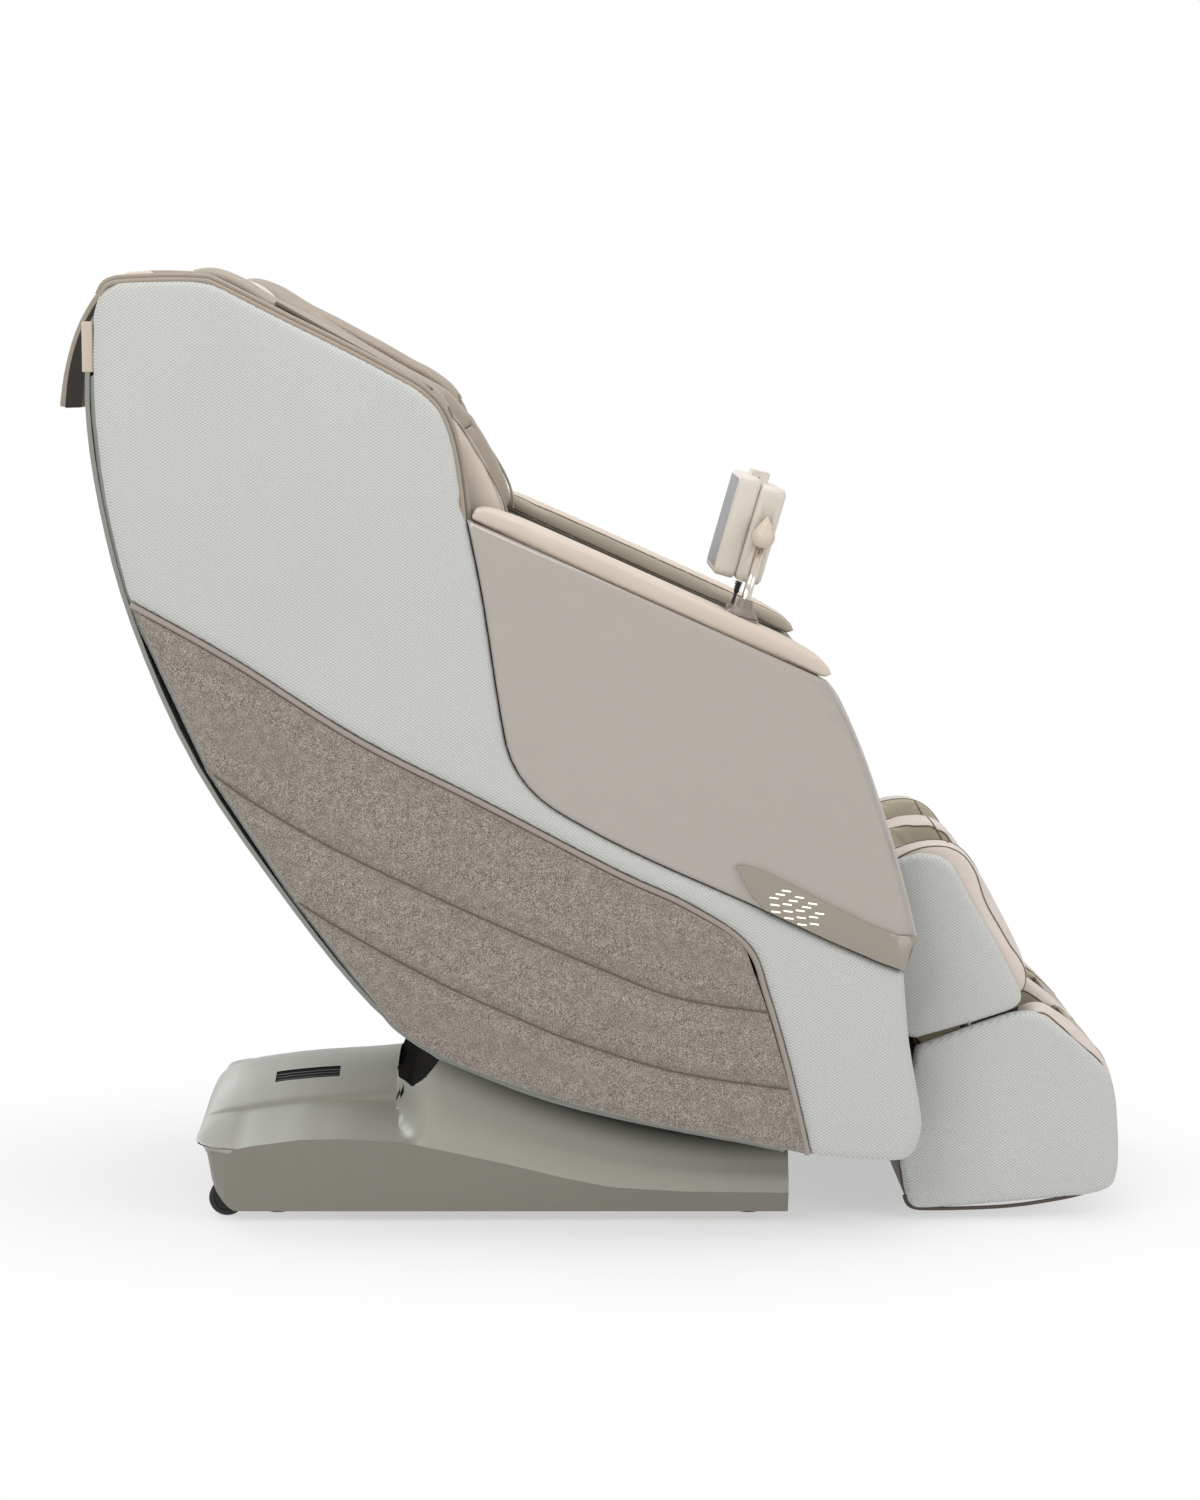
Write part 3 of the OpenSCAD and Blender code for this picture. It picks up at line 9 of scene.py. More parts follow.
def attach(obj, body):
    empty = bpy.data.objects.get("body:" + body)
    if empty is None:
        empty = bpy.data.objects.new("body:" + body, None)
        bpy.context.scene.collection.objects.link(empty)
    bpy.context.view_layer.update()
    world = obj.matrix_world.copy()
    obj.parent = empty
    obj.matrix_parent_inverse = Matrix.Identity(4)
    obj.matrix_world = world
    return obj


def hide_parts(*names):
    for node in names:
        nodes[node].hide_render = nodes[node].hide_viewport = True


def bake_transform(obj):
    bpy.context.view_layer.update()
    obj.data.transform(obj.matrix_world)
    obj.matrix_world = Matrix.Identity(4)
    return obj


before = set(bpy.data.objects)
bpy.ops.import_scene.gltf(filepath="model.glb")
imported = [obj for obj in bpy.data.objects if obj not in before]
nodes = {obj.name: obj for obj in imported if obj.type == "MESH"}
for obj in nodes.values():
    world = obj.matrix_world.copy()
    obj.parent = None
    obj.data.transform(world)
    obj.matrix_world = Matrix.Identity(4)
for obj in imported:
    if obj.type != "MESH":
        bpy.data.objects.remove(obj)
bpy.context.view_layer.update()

# ---- Studio ----
# A pale seamless floor under soft light. The camera stands level with the chair's head, 4.8 m to
# its right, and looks a little down.
camera_data = bpy.data.cameras.new("camera")
camera_data.lens = 80.64
camera_data.sensor_width = 36
camera_data.shift_x = 0.0333
camera = bpy.data.objects.new("camera", camera_data)
camera.location = (-0.06093, -4.8, 1.19053)
camera.rotation_euler = (math.radians(90 - 6.789), 0, 0)
bpy.context.collection.objects.link(camera)
bpy.context.scene.camera = camera
bpy.context.scene.view_settings.view_transform = "Standard"


def put(tree, kind, inputs=None, **settings):
    """Adds a shader node with its settings, and sets or links its inputs."""
    made = tree.nodes.new("ShaderNode" + kind)
    for key, value in settings.items():
        setattr(made, key, value)
    for key, value in (inputs or {}).items():
        if isinstance(value, bpy.types.NodeSocket):
            tree.links.new(value, made.inputs[key])
        else:
            made.inputs[key].default_value = value
    return made


def worked(tree, operation, first, second):
    """A sum, a product or the greater of two values, as an output to link."""
    return put(tree, "Math", {0: first, 1: second}, operation=operation).outputs[0]


def colour(code):
    """A paint code as the linear colour that the nodes take."""
    parts = [int(code[i : i + 2], 16) / 255 for i in (0, 2, 4)]
    return [c / 12.92 if c <= 0.04045 else ((c + 0.055) / 1.055) ** 2.4 for c in parts] + [1]


world = bpy.data.worlds.new("studio")
world.use_nodes = True
bpy.context.scene.world = world
sky = world.node_tree
sky.nodes.clear()
seen = put(sky, "LightPath")
direct = worked(sky, "MAXIMUM", seen.outputs["Is Camera Ray"], seen.outputs["Is Glossy Ray"])
clear = worked(sky, "MAXIMUM", direct, seen.outputs["Is Transmission Ray"])
dim = put(sky, "Background", {"Color": (0.97, 0.98, 1, 1), "Strength": 0.5})
white = put(sky, "Background", {"Color": (1, 1, 1, 1), "Strength": 1.0})
both = put(sky, "MixShader", {0: clear, 1: dim.outputs[0], 2: white.outputs[0]})
put(sky, "OutputWorld", {"Surface": both.outputs[0]})

for name, spot, target, size, power, tint in (
    ("key", (-1.8, -3.4, 3.4), (0, 0, 0.6), 2.6, 78, (1, 0.99, 0.97)),
    ("front_fill", (3.4, -2.2, 2.0), (0.2, 0, 0.5), 2.2, 36, (1, 0.99, 0.97)),
    ("back_fill", (-2.6, 3.2, 2.6), (0, 0, 0.6), 2.6, 70, (0.97, 0.98, 1)),
    ("top", (0.2, 0.2, 3.6), (0, 0, 0.5), 2.4, 50, (1, 1, 1)),
):
    lamp_data = bpy.data.lights.new(name, "AREA")
    lamp_data.size = size
    lamp_data.energy = power
    lamp_data.color = tint
    lamp = bpy.data.objects.new(name, lamp_data)
    lamp.location = spot
    lamp.rotation_euler = (Vector(target) - Vector(spot)).to_track_quat("-Z", "Y").to_euler()
    bpy.context.collection.objects.link(lamp)

bpy.ops.object.select_all(action="DESELECT")
bpy.ops.mesh.primitive_plane_add(size=30, location=(0, 0, -0.0005))
floor = bpy.context.object
floor.name = "studio_floor"
pale = bpy.data.materials.new("studio_floor")
pale.use_nodes = True
tree = pale.node_tree
tree.nodes.clear()
lit = put(tree, "BsdfDiffuse", {"Color": (0.84, 0.84, 0.85, 1)})
glow = put(tree, "Emission", {"Color": (1, 1, 1, 1), "Strength": 1.0})
place = put(tree, "TexCoord")
spread = put(tree, "Mapping", {"Vector": place.outputs["Object"], "Scale": (0.7, 1.1, 1)})
away = put(tree, "VectorMath", {0: spread.outputs[0]}, operation="LENGTH")
fade = put(tree, "MapRange",
           {"Value": away.outputs["Value"], "From Min": 0.35, "From Max": 0.95, "To Min": 0.5})
bare = put(tree, "MixShader", {0: fade.outputs[0], 1: lit.outputs[0], 2: glow.outputs[0]})
put(tree, "OutputMaterial", {"Surface": bare.outputs[0]})
floor.data.materials.append(pale)


# ---- Floor base ----
# One satin moulding covers a steel frame on four rubber feet. It hides the rocking drive, the air
# pump and the control box, and it has two louvred vents in its domed top and a mains inlet behind.
def blank(name):
    """A new material, with its nodes, its shader and its place on the piece."""
    made = bpy.data.materials.new(name)
    made.use_nodes = True
    tree = made.node_tree
    return made, tree, tree.nodes["Principled BSDF"], put(tree, "TexCoord")


def cloudy(tree, place, scale, detail):
    """A noise fixed to the piece, with so many cells to the metre."""
    return put(tree, "TexNoise", {"Vector": place.outputs["Object"], "Scale": scale, "Detail": detail})


def mottled(tree, shader, cloud, base, mottle):
    """Varies a base colour a little with a soft noise."""
    low = [c * (1 - mottle) for c in base[:3]] + [1]
    high = [min(c * (1 + mottle), 1) for c in base[:3]] + [1]
    tone = put(tree, "Mix", {0: cloud.outputs["Fac"], 6: low, 7: high}, data_type="RGBA")
    tree.links.new(tone.outputs[2], shader.inputs["Base Color"])


def bumpy(tree, shader, height, strength, distance):
    """Roughens a surface by a height that runs from 0 to 1 over the distance."""
    bump = put(tree, "Bump", {"Height": height, "Strength": strength, "Distance": distance})
    tree.links.new(bump.outputs[0], shader.inputs["Normal"])


def finish_of(name, base, rough, metal=0.0, grain=0.0, grain_scale=900, mottle=0.04, coat=0.0,
              stretch=(1, 1, 1), spec=0.5):
    """A plain material: a slightly mottled colour, and a fine grain in its surface."""
    made, tree, shader, place = blank(name)
    turned = put(tree, "Mapping", {"Vector": place.outputs["Object"], "Scale": stretch})
    cloud = put(tree, "TexNoise", {"Vector": turned.outputs[0], "Scale": 26, "Detail": 4})
    mottled(tree, shader, cloud, base, mottle)
    rub = put(tree, "MapRange", {"Value": cloud.outputs["Fac"], "To Min": rough - 0.05, "To Max": rough + 0.05})
    tree.links.new(rub.outputs[0], shader.inputs["Roughness"])
    shader.inputs["Metallic"].default_value = metal
    shader.inputs["Specular IOR Level"].default_value = spec
    shader.inputs["Coat Weight"].default_value = coat
    shader.inputs["Coat Roughness"].default_value = 0.12
    if grain:
        fine = put(tree, "TexNoise", {"Vector": turned.outputs[0], "Scale": grain_scale, "Detail": 2})
        bumpy(tree, shader, fine.outputs["Fac"], grain, 0.0005)
    return made


def dress(obj, material):
    """Gives a whole piece one material."""
    obj.data.materials.clear()
    obj.data.materials.append(material)


satin_base = finish_of("satin_base", colour("9f9e94"), 0.42, grain=0.12)
black_plastic = finish_of("black_plastic", colour("1b1b1c"), 0.45, grain=0.2)
rubber = finish_of("rubber", colour("202022"), 0.75, grain=0.3, grain_scale=500)
coated_steel = finish_of("coated_steel", colour("3d3e41"), 0.5, metal=0.3, grain=0.35, grain_scale=700)
ground_steel = finish_of("ground_steel", colour("b4b5b8"), 0.32, metal=1, grain=0.1, stretch=(1, 12, 1))
grey_plastic = finish_of("grey_plastic", colour("8f9194"), 0.5, grain=0.2)
switch_red = finish_of("switch_red", colour("a8241c"), 0.3, coat=0.4)


def copied(name, *names):
    """A clean copy of CAD nodes, whose loose triangles are joined, as one new object."""
    mesh = bpy.data.meshes.new(name)
    work = bmesh.new()
    for node in names:
        work.from_mesh(nodes[node].data)
    bmesh.ops.remove_doubles(work, verts=work.verts, dist=1e-5)
    bmesh.ops.dissolve_degenerate(work, edges=work.edges, dist=1e-6)
    work.to_mesh(mesh)
    work.free()
    mesh.materials.clear()
    made = bpy.data.objects.new(name, mesh)
    bpy.context.collection.objects.link(made)
    return made


def alone(obj):
    """Selects one object and nothing else."""
    bpy.ops.object.select_all(action="DESELECT")
    obj.select_set(True)
    bpy.context.view_layer.objects.active = obj


def applied(obj, kind, **settings):
    """Adds a modifier and applies it."""
    step = obj.modifiers.new(kind.lower(), kind)
    for key, value in settings.items():
        setattr(step, key, value)
    alone(obj)
    bpy.ops.object.modifier_apply(modifier=step.name)


def smoothed(obj, angle):
    """Shades a piece smooth, but for edges sharper than the angle."""
    alone(obj)
    bpy.ops.object.shade_smooth_by_angle(angle=math.radians(angle))


def closed(name, verts, faces, merged=False):
    """A new closed mesh from its corners and faces, which are turned outwards."""
    mesh = bpy.data.meshes.new(name)
    mesh.from_pydata([tuple(v) for v in verts], [], faces)
    made = bpy.data.objects.new(name, mesh)
    bpy.context.collection.objects.link(made)
    alone(made)
    bpy.ops.object.mode_set(mode="EDIT")
    bpy.ops.mesh.select_all(action="SELECT")
    if merged:
        bpy.ops.mesh.remove_doubles(threshold=0.0002)
        bpy.ops.mesh.dissolve_degenerate(threshold=0.0001)
    bpy.ops.mesh.normals_make_consistent(inside=False)
    bpy.ops.object.mode_set(mode="OBJECT")
    return made


def stated(obj, body, stands_for):
    """Puts a piece on the body that it rides on, and hides the CAD node that it stands for."""
    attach(obj, body)
    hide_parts(stands_for)


def painted(obj, materials, pick):
    """Gives each face of a piece its material by the place and the normal of the face."""
    obj.data.materials.clear()
    for material in materials:
        obj.data.materials.append(material)
    for f in obj.data.polygons:
        f.material_index = pick(f.center, f.normal)


def through(points, steps):
    """A smooth curve through the points, in metres, with so many steps between each two."""
    p = np.array(points, float) / 1000
    out = []
    for i in range(len(p) - 1):
        a, b, c, d = p[max(i - 1, 0)], p[i], p[i + 1], p[min(i + 2, len(p) - 1)]
        for t in np.arange(steps) / steps:
            out.append(0.5 * (2 * b + (c - a) * t + (2 * a - 5 * b + 4 * c - d) * t**2
                              + (3 * b - a - 3 * c + d) * t**3))
    return np.array(out + [p[-1]])


def evenly(line, count):
    """The same line with its points spaced evenly."""
    steps = np.concatenate([[0], np.cumsum(np.linalg.norm(np.diff(line, axis=0), axis=1))])
    at = np.linspace(0, steps[-1], count)
    return np.stack([np.interp(at, steps, line[:, k]) for k in range(line.shape[1])], axis=1)


crease_x = [-547, -471, -403, -341, -266, -198, -116, -47, 21, 117, 266]
crease_z = [94, 109, 118, 119, 115, 101, 83, 66, 52, 46, 44]
base_half, base_rear, corner_round = 301, -551, 60
dome_end, saddle_start = -277, -226
foot_x, foot_z = [-551, -543, -536, -531, -523, -507, -495], [111, 100, 88, 55, 31, 17, 15]
dome_x = [-551, -549, -545, -538, -528, -510, -486, -431, -390, -321, dome_end]
dome_z = [117, 126, 134, 141, 148, 156, 162, 170, 174, 178, 182]
rocking_x, rocking_z, saddle_round = 269, 1051, 946
rear_straight = base_rear + corner_round


def base_outline(x):
    """The base's outline across the chair at x, over the top and back under it. Towards the rear
    the outline bends forwards, so that the corners are round in plan."""
    crease = np.interp(max(x, rear_straight), crease_x, crease_z)
    share = min(max((saddle_start - x) / 52, 0), 1)
    share = share * share * (3 - 2 * share)
    dome = float(np.interp(x, dome_x, dome_z))
    saddle = rocking_z - math.sqrt(saddle_round**2 - (x - rocking_x) ** 2)
    top = dome if x < dome_end else min(saddle, dome + (x - dome_end) * 6)
    rise = top - crease
    ledge = (base_half - 9 - 121 * share,
             crease + 0.45 * rise * (1 - share) + min(16, 0.3 * rise) * share)
    brow = (base_half - 42 - 118 * share, top - share * min(27, 0.5 * rise))
    crown = (brow[0] / 2, top - (top - brow[1]) / 4)
    ring = [(base_half, crease), ledge, brow, crown, (0, top)]
    ring += [(-y, z) for y, z in ring[-2::-1]]
    over = through(ring, 8)
    over[:, 1] = np.clip(over[:, 1], crease / 1000, top / 1000)
    foot = min(np.interp(x, foot_x, foot_z), crease - 1)
    edge = base_half - 12 * (crease - foot) / (crease - foot_z[-1])
    level = (-edge, -280, -265, -241, -120, 0, 120, 241, 265, 280, edge)
    points = []
    for y, z in list(map(tuple, over)) + [(y / 1000, foot / 1000) for y in level]:
        past = max(abs(y) * 1000 - (base_half - corner_round), 0)
        bend = corner_round - math.sqrt(max(corner_round**2 - past**2, 0))
        points.append(((x + bend * min(max((rear_straight - x) / corner_round, 0), 1)) / 1000, y, z))
    return points


cuts = [-551, -549, -546, -542, -537, -531, -525, -518, -510, -500, -491]
cuts += list(range(-480, -280, 12)) + [-279, -278] + list(range(-272, -223, 6)) + [-210, -195]
cuts += list(range(-180, 266, 15)) + [266]
rings = [base_outline(x) for x in cuts]
size = len(rings[0])
verts = [p for ring in rings for p in ring]
faces = [(k * size + i, k * size + (i + 1) % size, (k + 1) * size + (i + 1) % size, (k + 1) * size + i)
         for k in range(len(cuts) - 1) for i in range(size)]
faces += [tuple(range(size)), tuple(range(len(verts) - 1, len(verts) - size - 1, -1))]
cover = closed("base_moulding", verts, faces, merged=True)


def prism(outline, low, high):
    """A straight prism across the chair with its outline in the chair's side, in millimetres."""
    n = len(outline)
    verts = [(x / 1000, y / 1000, z / 1000) for y in (low, high) for x, z in outline]
    faces = [tuple(range(n)), tuple(range(2 * n - 1, n - 1, -1))]
    faces += [(i, n + i, n + (i + 1) % n, (i + 1) % n) for i in range(n)]
    return closed("cutter", verts, faces)


slot_form = [(-278, 300), (-278, 172), (-254, 174), (-209, 228), (-209, 300)]
vent_form = [(-453, 140), (-361, 143), (-361, 250), (-453, 250)]
inlet_form = [(-600, 62), (-512, 62), (-512, 100), (-600, 100)]
for outline, low, high in (
    (slot_form, -310, 310), (vent_form, -97, -63), (vent_form, 63, 97), (inlet_form, -150, -30),
):
    cutter = prism(outline, low, high)
    applied(cover, "BOOLEAN", object=cutter, operation="DIFFERENCE", solver="EXACT")
    bpy.data.objects.remove(cutter)
smoothed(cover, 24)
# Painted shade: the skirt below the crease is the same satin moulding, given a darker copy of its colour for
# the shade on its downward-turned face.
skirt_painted_shade = finish_of("satin_base_skirt_painted_shade", colour("7f7b72"), 0.45, grain=0.12)


def base_colour(c, n):
    """Pale above the crease, and darker below it on the skirt as painted shade; black in the slot and the vent
    pockets as painted shadow.
    """
    # Painted shadow: the slot's two walls and its closed floor, and the walls and floors of the vent pockets,
    # are black for the shade inside the moulding.
    front_wall = abs(c.z - 0.174 - 1.2 * (c.x + 0.254)) < 0.0012 and n.x < -0.7
    rear_wall = abs(c.x + 0.278) < 0.0006 and n.x > 0.9
    floor = abs(c.x + 0.266) < 0.0125 and 0.1715 < c.z < 0.1745 and n.z > 0.9
    if front_wall or rear_wall or floor:
        return 2
    if abs(c.x + 0.407) < 0.047 and 0.062 < abs(c.y) < 0.098 and (c.z < 0.1435 or abs(n.z) < 0.5):
        return 2
    # Painted shade: faces below the crease take the darker skirt copy.
    return 1 if c.z * 1000 < np.interp(c.x * 1000, crease_x, crease_z) - 1 else 0


# Painted shadow: a matt black for the slot and the vent pockets, where the moulding is open to its shaded
# inside.
slot_painted_shadow = finish_of("slot_painted_shadow", colour("171512"), 0.9, grain=0.1, spec=0.02)
painted(cover, [satin_base, skirt_painted_shade, slot_painted_shadow], base_colour)
stated(cover, "base", "base_cover")

for node, material in (
    ("vent_grilles", black_plastic), ("base_feet", rubber), ("base_frame", coated_steel),
    ("drive_unit", coated_steel), ("air_pump", black_plastic), ("control_box", grey_plastic),
    ("mains_inlet", black_plastic), ("power_switch", switch_red), ("wheel_right", rubber),
    ("wheel_left", rubber), ("drive_pinion", ground_steel), ("front_guide_rollers", black_plastic),
    ("rear_guide_rollers", black_plastic),
):
    dress(nodes[node], material)

# ---- Rocking frame ----
# Two steel side plates with arc rails and cross tubes carry the shell. The drive's toothed rack and
# the two tracks of the massage carriage follow the same arc.
for node, material in (
    ("seat_frame", coated_steel), ("rocker_rails", ground_steel), ("drive_rack", ground_steel),
    ("massage_track", ground_steel), ("lift_actuator", black_plastic), ("actuator_rod", ground_steel),
    ("massage_carriage", coated_steel),
):
    dress(nodes[node], material)
roller_cream = finish_of("roller_cream", colour("cfc4b4"), 0.4, grain=0.15)
dress(nodes["kneading_rollers"], roller_cream)

# ---- Side shells, back shell and belly cover ----
# Moulded satin shells close the chair's sides and back. The belly between them is a dark cover with
# slots for the roller brackets and the drive.
satin_shell = finish_of("satin_shell", colour("8c8f88"), 0.45, grain=0.15)
dark_cover = finish_of("dark_cover", colour("4f453d"), 0.6, grain=0.4)
for side in ("right", "left"):
    dress(nodes["side_shell_" + side], satin_shell)
dress(nodes["back_shell"], satin_shell)
dress(nodes["belly_cover"], dark_cover)


# ---- Upper side panels ----
# One long padded board on each side, from the head down to the knee, covered in a fine pale green
# weave that is pulled round its edges.
def woven(name, base, dark, warp, weft, strength=0.35, fuzz=0.3):
    """Plain weave in the plane of the chair's side: threads cross every warp and weft metres."""
    made, tree, shader, place = blank(name)
    split = put(tree, "SeparateXYZ", {0: place.outputs["Object"]})
    along = worked(tree, "ADD", split.outputs["X"], split.outputs["Y"])
    wander = cloudy(tree, place, 9, 2)
    drift = worked(tree, "MULTIPLY", wander.outputs["Fac"], 0.004)
    waves = []
    for source, pitch in ((along, warp), (split.outputs["Z"], weft)):
        moved = worked(tree, "ADD", source, drift)
        turn = worked(tree, "MULTIPLY", moved, 2 * math.pi / pitch)
        waves.append(put(tree, "Math", {0: turn}, operation="SINE").outputs[0])
    cross = worked(tree, "MULTIPLY", waves[0], waves[1])
    thread = put(tree, "MapRange", {"Value": cross, "From Min": -1, "From Max": 1})
    yarn = cloudy(tree, place, 420, 3)
    lift = worked(tree, "MULTIPLY", yarn.outputs["Fac"], 0.6)
    height = worked(tree, "ADD", thread.outputs[0], lift)
    patch = cloudy(tree, place, 5, 3)
    calm = put(tree, "MapRange", {"Value": patch.outputs["Fac"], "To Min": 0.44, "To Max": 0.56})
    shade = worked(tree, "MULTIPLY", height, calm.outputs[0])
    pick = put(tree, "MapRange", {"Value": shade, "From Min": 0.1, "From Max": 0.75})
    tone = put(tree, "Mix", {0: pick.outputs[0], 6: dark, 7: base}, data_type="RGBA")
    tree.links.new(tone.outputs[2], shader.inputs["Base Color"])
    bumpy(tree, shader, height, strength, 0.0006)
    shader.inputs["Roughness"].default_value = 0.85
    shader.inputs["Specular IOR Level"].default_value = 0.25
    shader.inputs["Sheen Weight"].default_value = fuzz
    shader.inputs["Sheen Roughness"].default_value = 0.5
    return made


mint_weave = woven("mint_weave", colour("d4d4d0"), colour("a8aaa6"), 0.0062, 0.0042, 0.5)


def points_of(obj, what="co"):
    """A mesh's points as an array."""
    flat = np.empty(len(obj.data.vertices) * 3)
    obj.data.vertices.foreach_get(what, flat)
    return flat.reshape(-1, 3)


def set_points(obj, where):
    """Moves a mesh's points to the rows of an array."""
    obj.data.vertices.foreach_set("co", where.ravel())
    obj.data.update()


def normals_of(obj):
    """The normals at a mesh's points as an array."""
    return points_of(obj, "normal")


def near_line(where, line):
    """Distance of each point from a line through several points, in the same number of axes."""
    best = np.full(len(where), 1e9)
    for a, b in zip(line[:-1], line[1:]):
        span = b - a
        share = np.clip(((where - a) @ span) / max(span @ span, 1e-12), 0, 1)
        best = np.minimum(best, np.linalg.norm(where - (a + share[:, None] * span), axis=1))
    return best


def padded_copy(name, names, voxel, relax, swell=0.0):
    """A CAD form meshed evenly, with its edges relaxed as foam under cloth does."""
    made = copied(name, *names)
    applied(made, "REMESH", mode="VOXEL", voxel_size=voxel)
    applied(made, "SMOOTH", factor=0.5, iterations=relax)
    if swell:
        set_points(made, points_of(made) + swell * normals_of(made))
    made.data.polygons.foreach_set("use_smooth", [True] * len(made.data.polygons))
    return made


def mirrored(obj, name):
    """The left-hand twin of a right-hand piece, with its own mesh."""
    twin = bpy.data.objects.new(name, obj.data.copy())
    bpy.context.collection.objects.link(twin)
    set_points(twin, points_of(twin) * (1, -1, 1))
    twin.data.flip_normals()
    return twin


def from_rim(face, rim, cell):
    """Distance of a flat face's points from its rim, whose points are counted in square cells."""
    spots = (np.unique(np.floor(rim / cell).astype(int), axis=0) + 0.5) * cell
    away = np.full(len(face), 1e9)
    for i in range(0, len(spots), 64):
        near = np.linalg.norm(face[:, None] - spots[None, i : i + 64], axis=2)
        away = np.minimum(away, near.min(axis=1))
    return away


def crowned(obj, rise, reach):
    """Raises the outer face of a side board towards its middle."""
    where = points_of(obj)
    outer = where[:, 1] < where[:, 1].min() + 0.004
    rim = where[~outer & (where[:, 1] < where[:, 1].min() + 0.012)][:, [0, 2]]
    away = from_rim(where[outer][:, [0, 2]], rim, 0.01)
    where[outer, 1] -= rise * (1 - np.exp(-away / reach))
    set_points(obj, where)


def drawn_to(obj, line, reach=0.03):
    """Draws the rim of a side board in or out to a line, over a band of the board beside it."""
    where = points_of(obj)
    flat = where[:, [0, 2]]
    best, signed, place = np.full(len(flat), 1e9), np.zeros(len(flat)), np.zeros(len(flat))
    outward = np.zeros((len(flat), 2))
    run = 0.0
    for a, b in zip(line[:-1], line[1:]):
        span = b - a
        size = np.linalg.norm(span)
        share = np.clip((flat - a) @ span / size**2, 0, 1)
        off = flat - (a + share[:, None] * span)
        away = np.linalg.norm(off, axis=1)
        normal = np.array((-span[1], span[0])) / size
        hit = away < best
        best[hit], place[hit], outward[hit] = away[hit], run + share[hit] * size, normal
        signed[hit] = (np.sign(off @ normal) * away)[hit]
        run += size
    bins = np.arange(0, run, 0.01)
    rim = np.array([signed[(np.abs(place - b) < 0.008) & (best < 0.04)].max(initial=-0.02) for b in bins])
    rim = np.convolve(np.pad(rim, 2, mode="edge"), np.ones(5) / 5, mode="valid")
    edge = np.interp(place, bins, rim)
    ends = np.clip(place / 0.03, 0, 1) * np.clip((run - place) / 0.03, 0, 1)
    band = signed > -reach
    wanted = -reach + (signed + reach) * reach / (reach + edge)
    shift = np.where(band, (wanted - signed) * ends, 0)
    where[:, [0, 2]] += outward * shift[:, None]
    set_points(obj, where)


upper_right = padded_copy("upper_side_panel_right", ["side_panel_right"], 0.006, 3, 0.0008)
head_line = through([(-646, 1260), (-640, 1272), (-630, 1277), (-614, 1279), (-564, 1281), (-516, 1280),
                     (-493, 1273), (-416, 1234), (-357, 1205), (-298, 1175), (-239, 1143), (-222, 1130),
                     (-207, 1114), (-194, 1087), (-184, 1048), (-178, 1007), (-174, 969)], 4)
drawn_to(upper_right, head_line)
crowned(upper_right, 0.0035, 0.05)
dress(upper_right, mint_weave)
upper_left = mirrored(upper_right, "upper_side_panel_left")
for side, panel in (("right", upper_right), ("left", upper_left)):
    stated(panel, "capsule", "side_panel_" + side)


# ---- Lower side panels ----
# Three padded channels in a grey-brown tweed, sewn through along two long seams. A taupe leather
# welt runs along the border with the upper panel.
def tweed_cloth():
    """Mixed dark and pale threads in two directions, with a soft cloud of tone over them."""
    made, tree, shader, place = blank("tweed")
    threads = []
    for stretch in ((480, 480, 1700), (1700, 480, 480)):
        pulled = put(tree, "Mapping", {"Vector": place.outputs["Object"], "Scale": stretch})
        yarn = put(tree, "TexNoise", {"Vector": pulled.outputs[0], "Scale": 1.0, "Detail": 2})
        threads.append(yarn.outputs["Fac"])
    over = worked(tree, "MAXIMUM", threads[0], threads[1])
    cloud = cloudy(tree, place, 90, 3)
    soft = worked(tree, "MULTIPLY", cloud.outputs["Fac"], 0.12)
    mixed = worked(tree, "ADD", over, soft)
    ramp = put(tree, "ValToRGB", {0: mixed})
    stops = ramp.color_ramp.elements
    stops[0].position, stops[0].color = 0.50, colour("5b534c")
    stops[1].position, stops[1].color = 0.74, colour("bdb4aa")
    middle = stops.new(0.61)
    middle.color = colour("867d74")
    tree.links.new(ramp.outputs[0], shader.inputs["Base Color"])
    bumpy(tree, shader, mixed, 0.6, 0.0009)
    shader.inputs["Roughness"].default_value = 0.9
    shader.inputs["Specular IOR Level"].default_value = 0.2
    shader.inputs["Sheen Weight"].default_value = 0.25
    return made


def beside(line):
    """The direction square to a line at each of its points, in the line's own plane."""
    turn = np.gradient(line, axis=0)
    return np.stack([-turn[:, 1], turn[:, 0]], axis=1) / np.linalg.norm(turn, axis=1)[:, None]


tweed = tweed_cloth()
border = through([(-613, 858), (-480, 783), (-317, 679), (-153, 595), (24, 502), (122, 456),
                  (200, 403), (228, 335), (257, 236), (285, 119)], 12)
turn_at = 6 * 12
seam_columns = 220
quilt_seams = [evenly(border[: turn_at + 1], seam_columns)]
quilt_seams += [evenly(through(run, 12), seam_columns) for run in (
    [(-512, 636), (-443, 588), (-330, 524), (-154, 441), (-9, 378), (110, 332), (233.7, 312.2)],
    [(-400, 464), (-330, 420), (-207, 352), (-100, 303), (-25, 272), (110, 231), (264.2, 207.0)],
    [(-272, 296), (-213, 256), (-120, 217), (-20, 185), (80, 160), (180, 141), (285, 119)],
)]
channel_rows = 22
rim_level, face_level, rim_drop, valley, crown = -0.370, -0.394, 0.005, 0.0062, 0.0035
sewn_share, pucker_share = 0.16, 0.22
verts = []
rows = 3 * channel_rows + 1
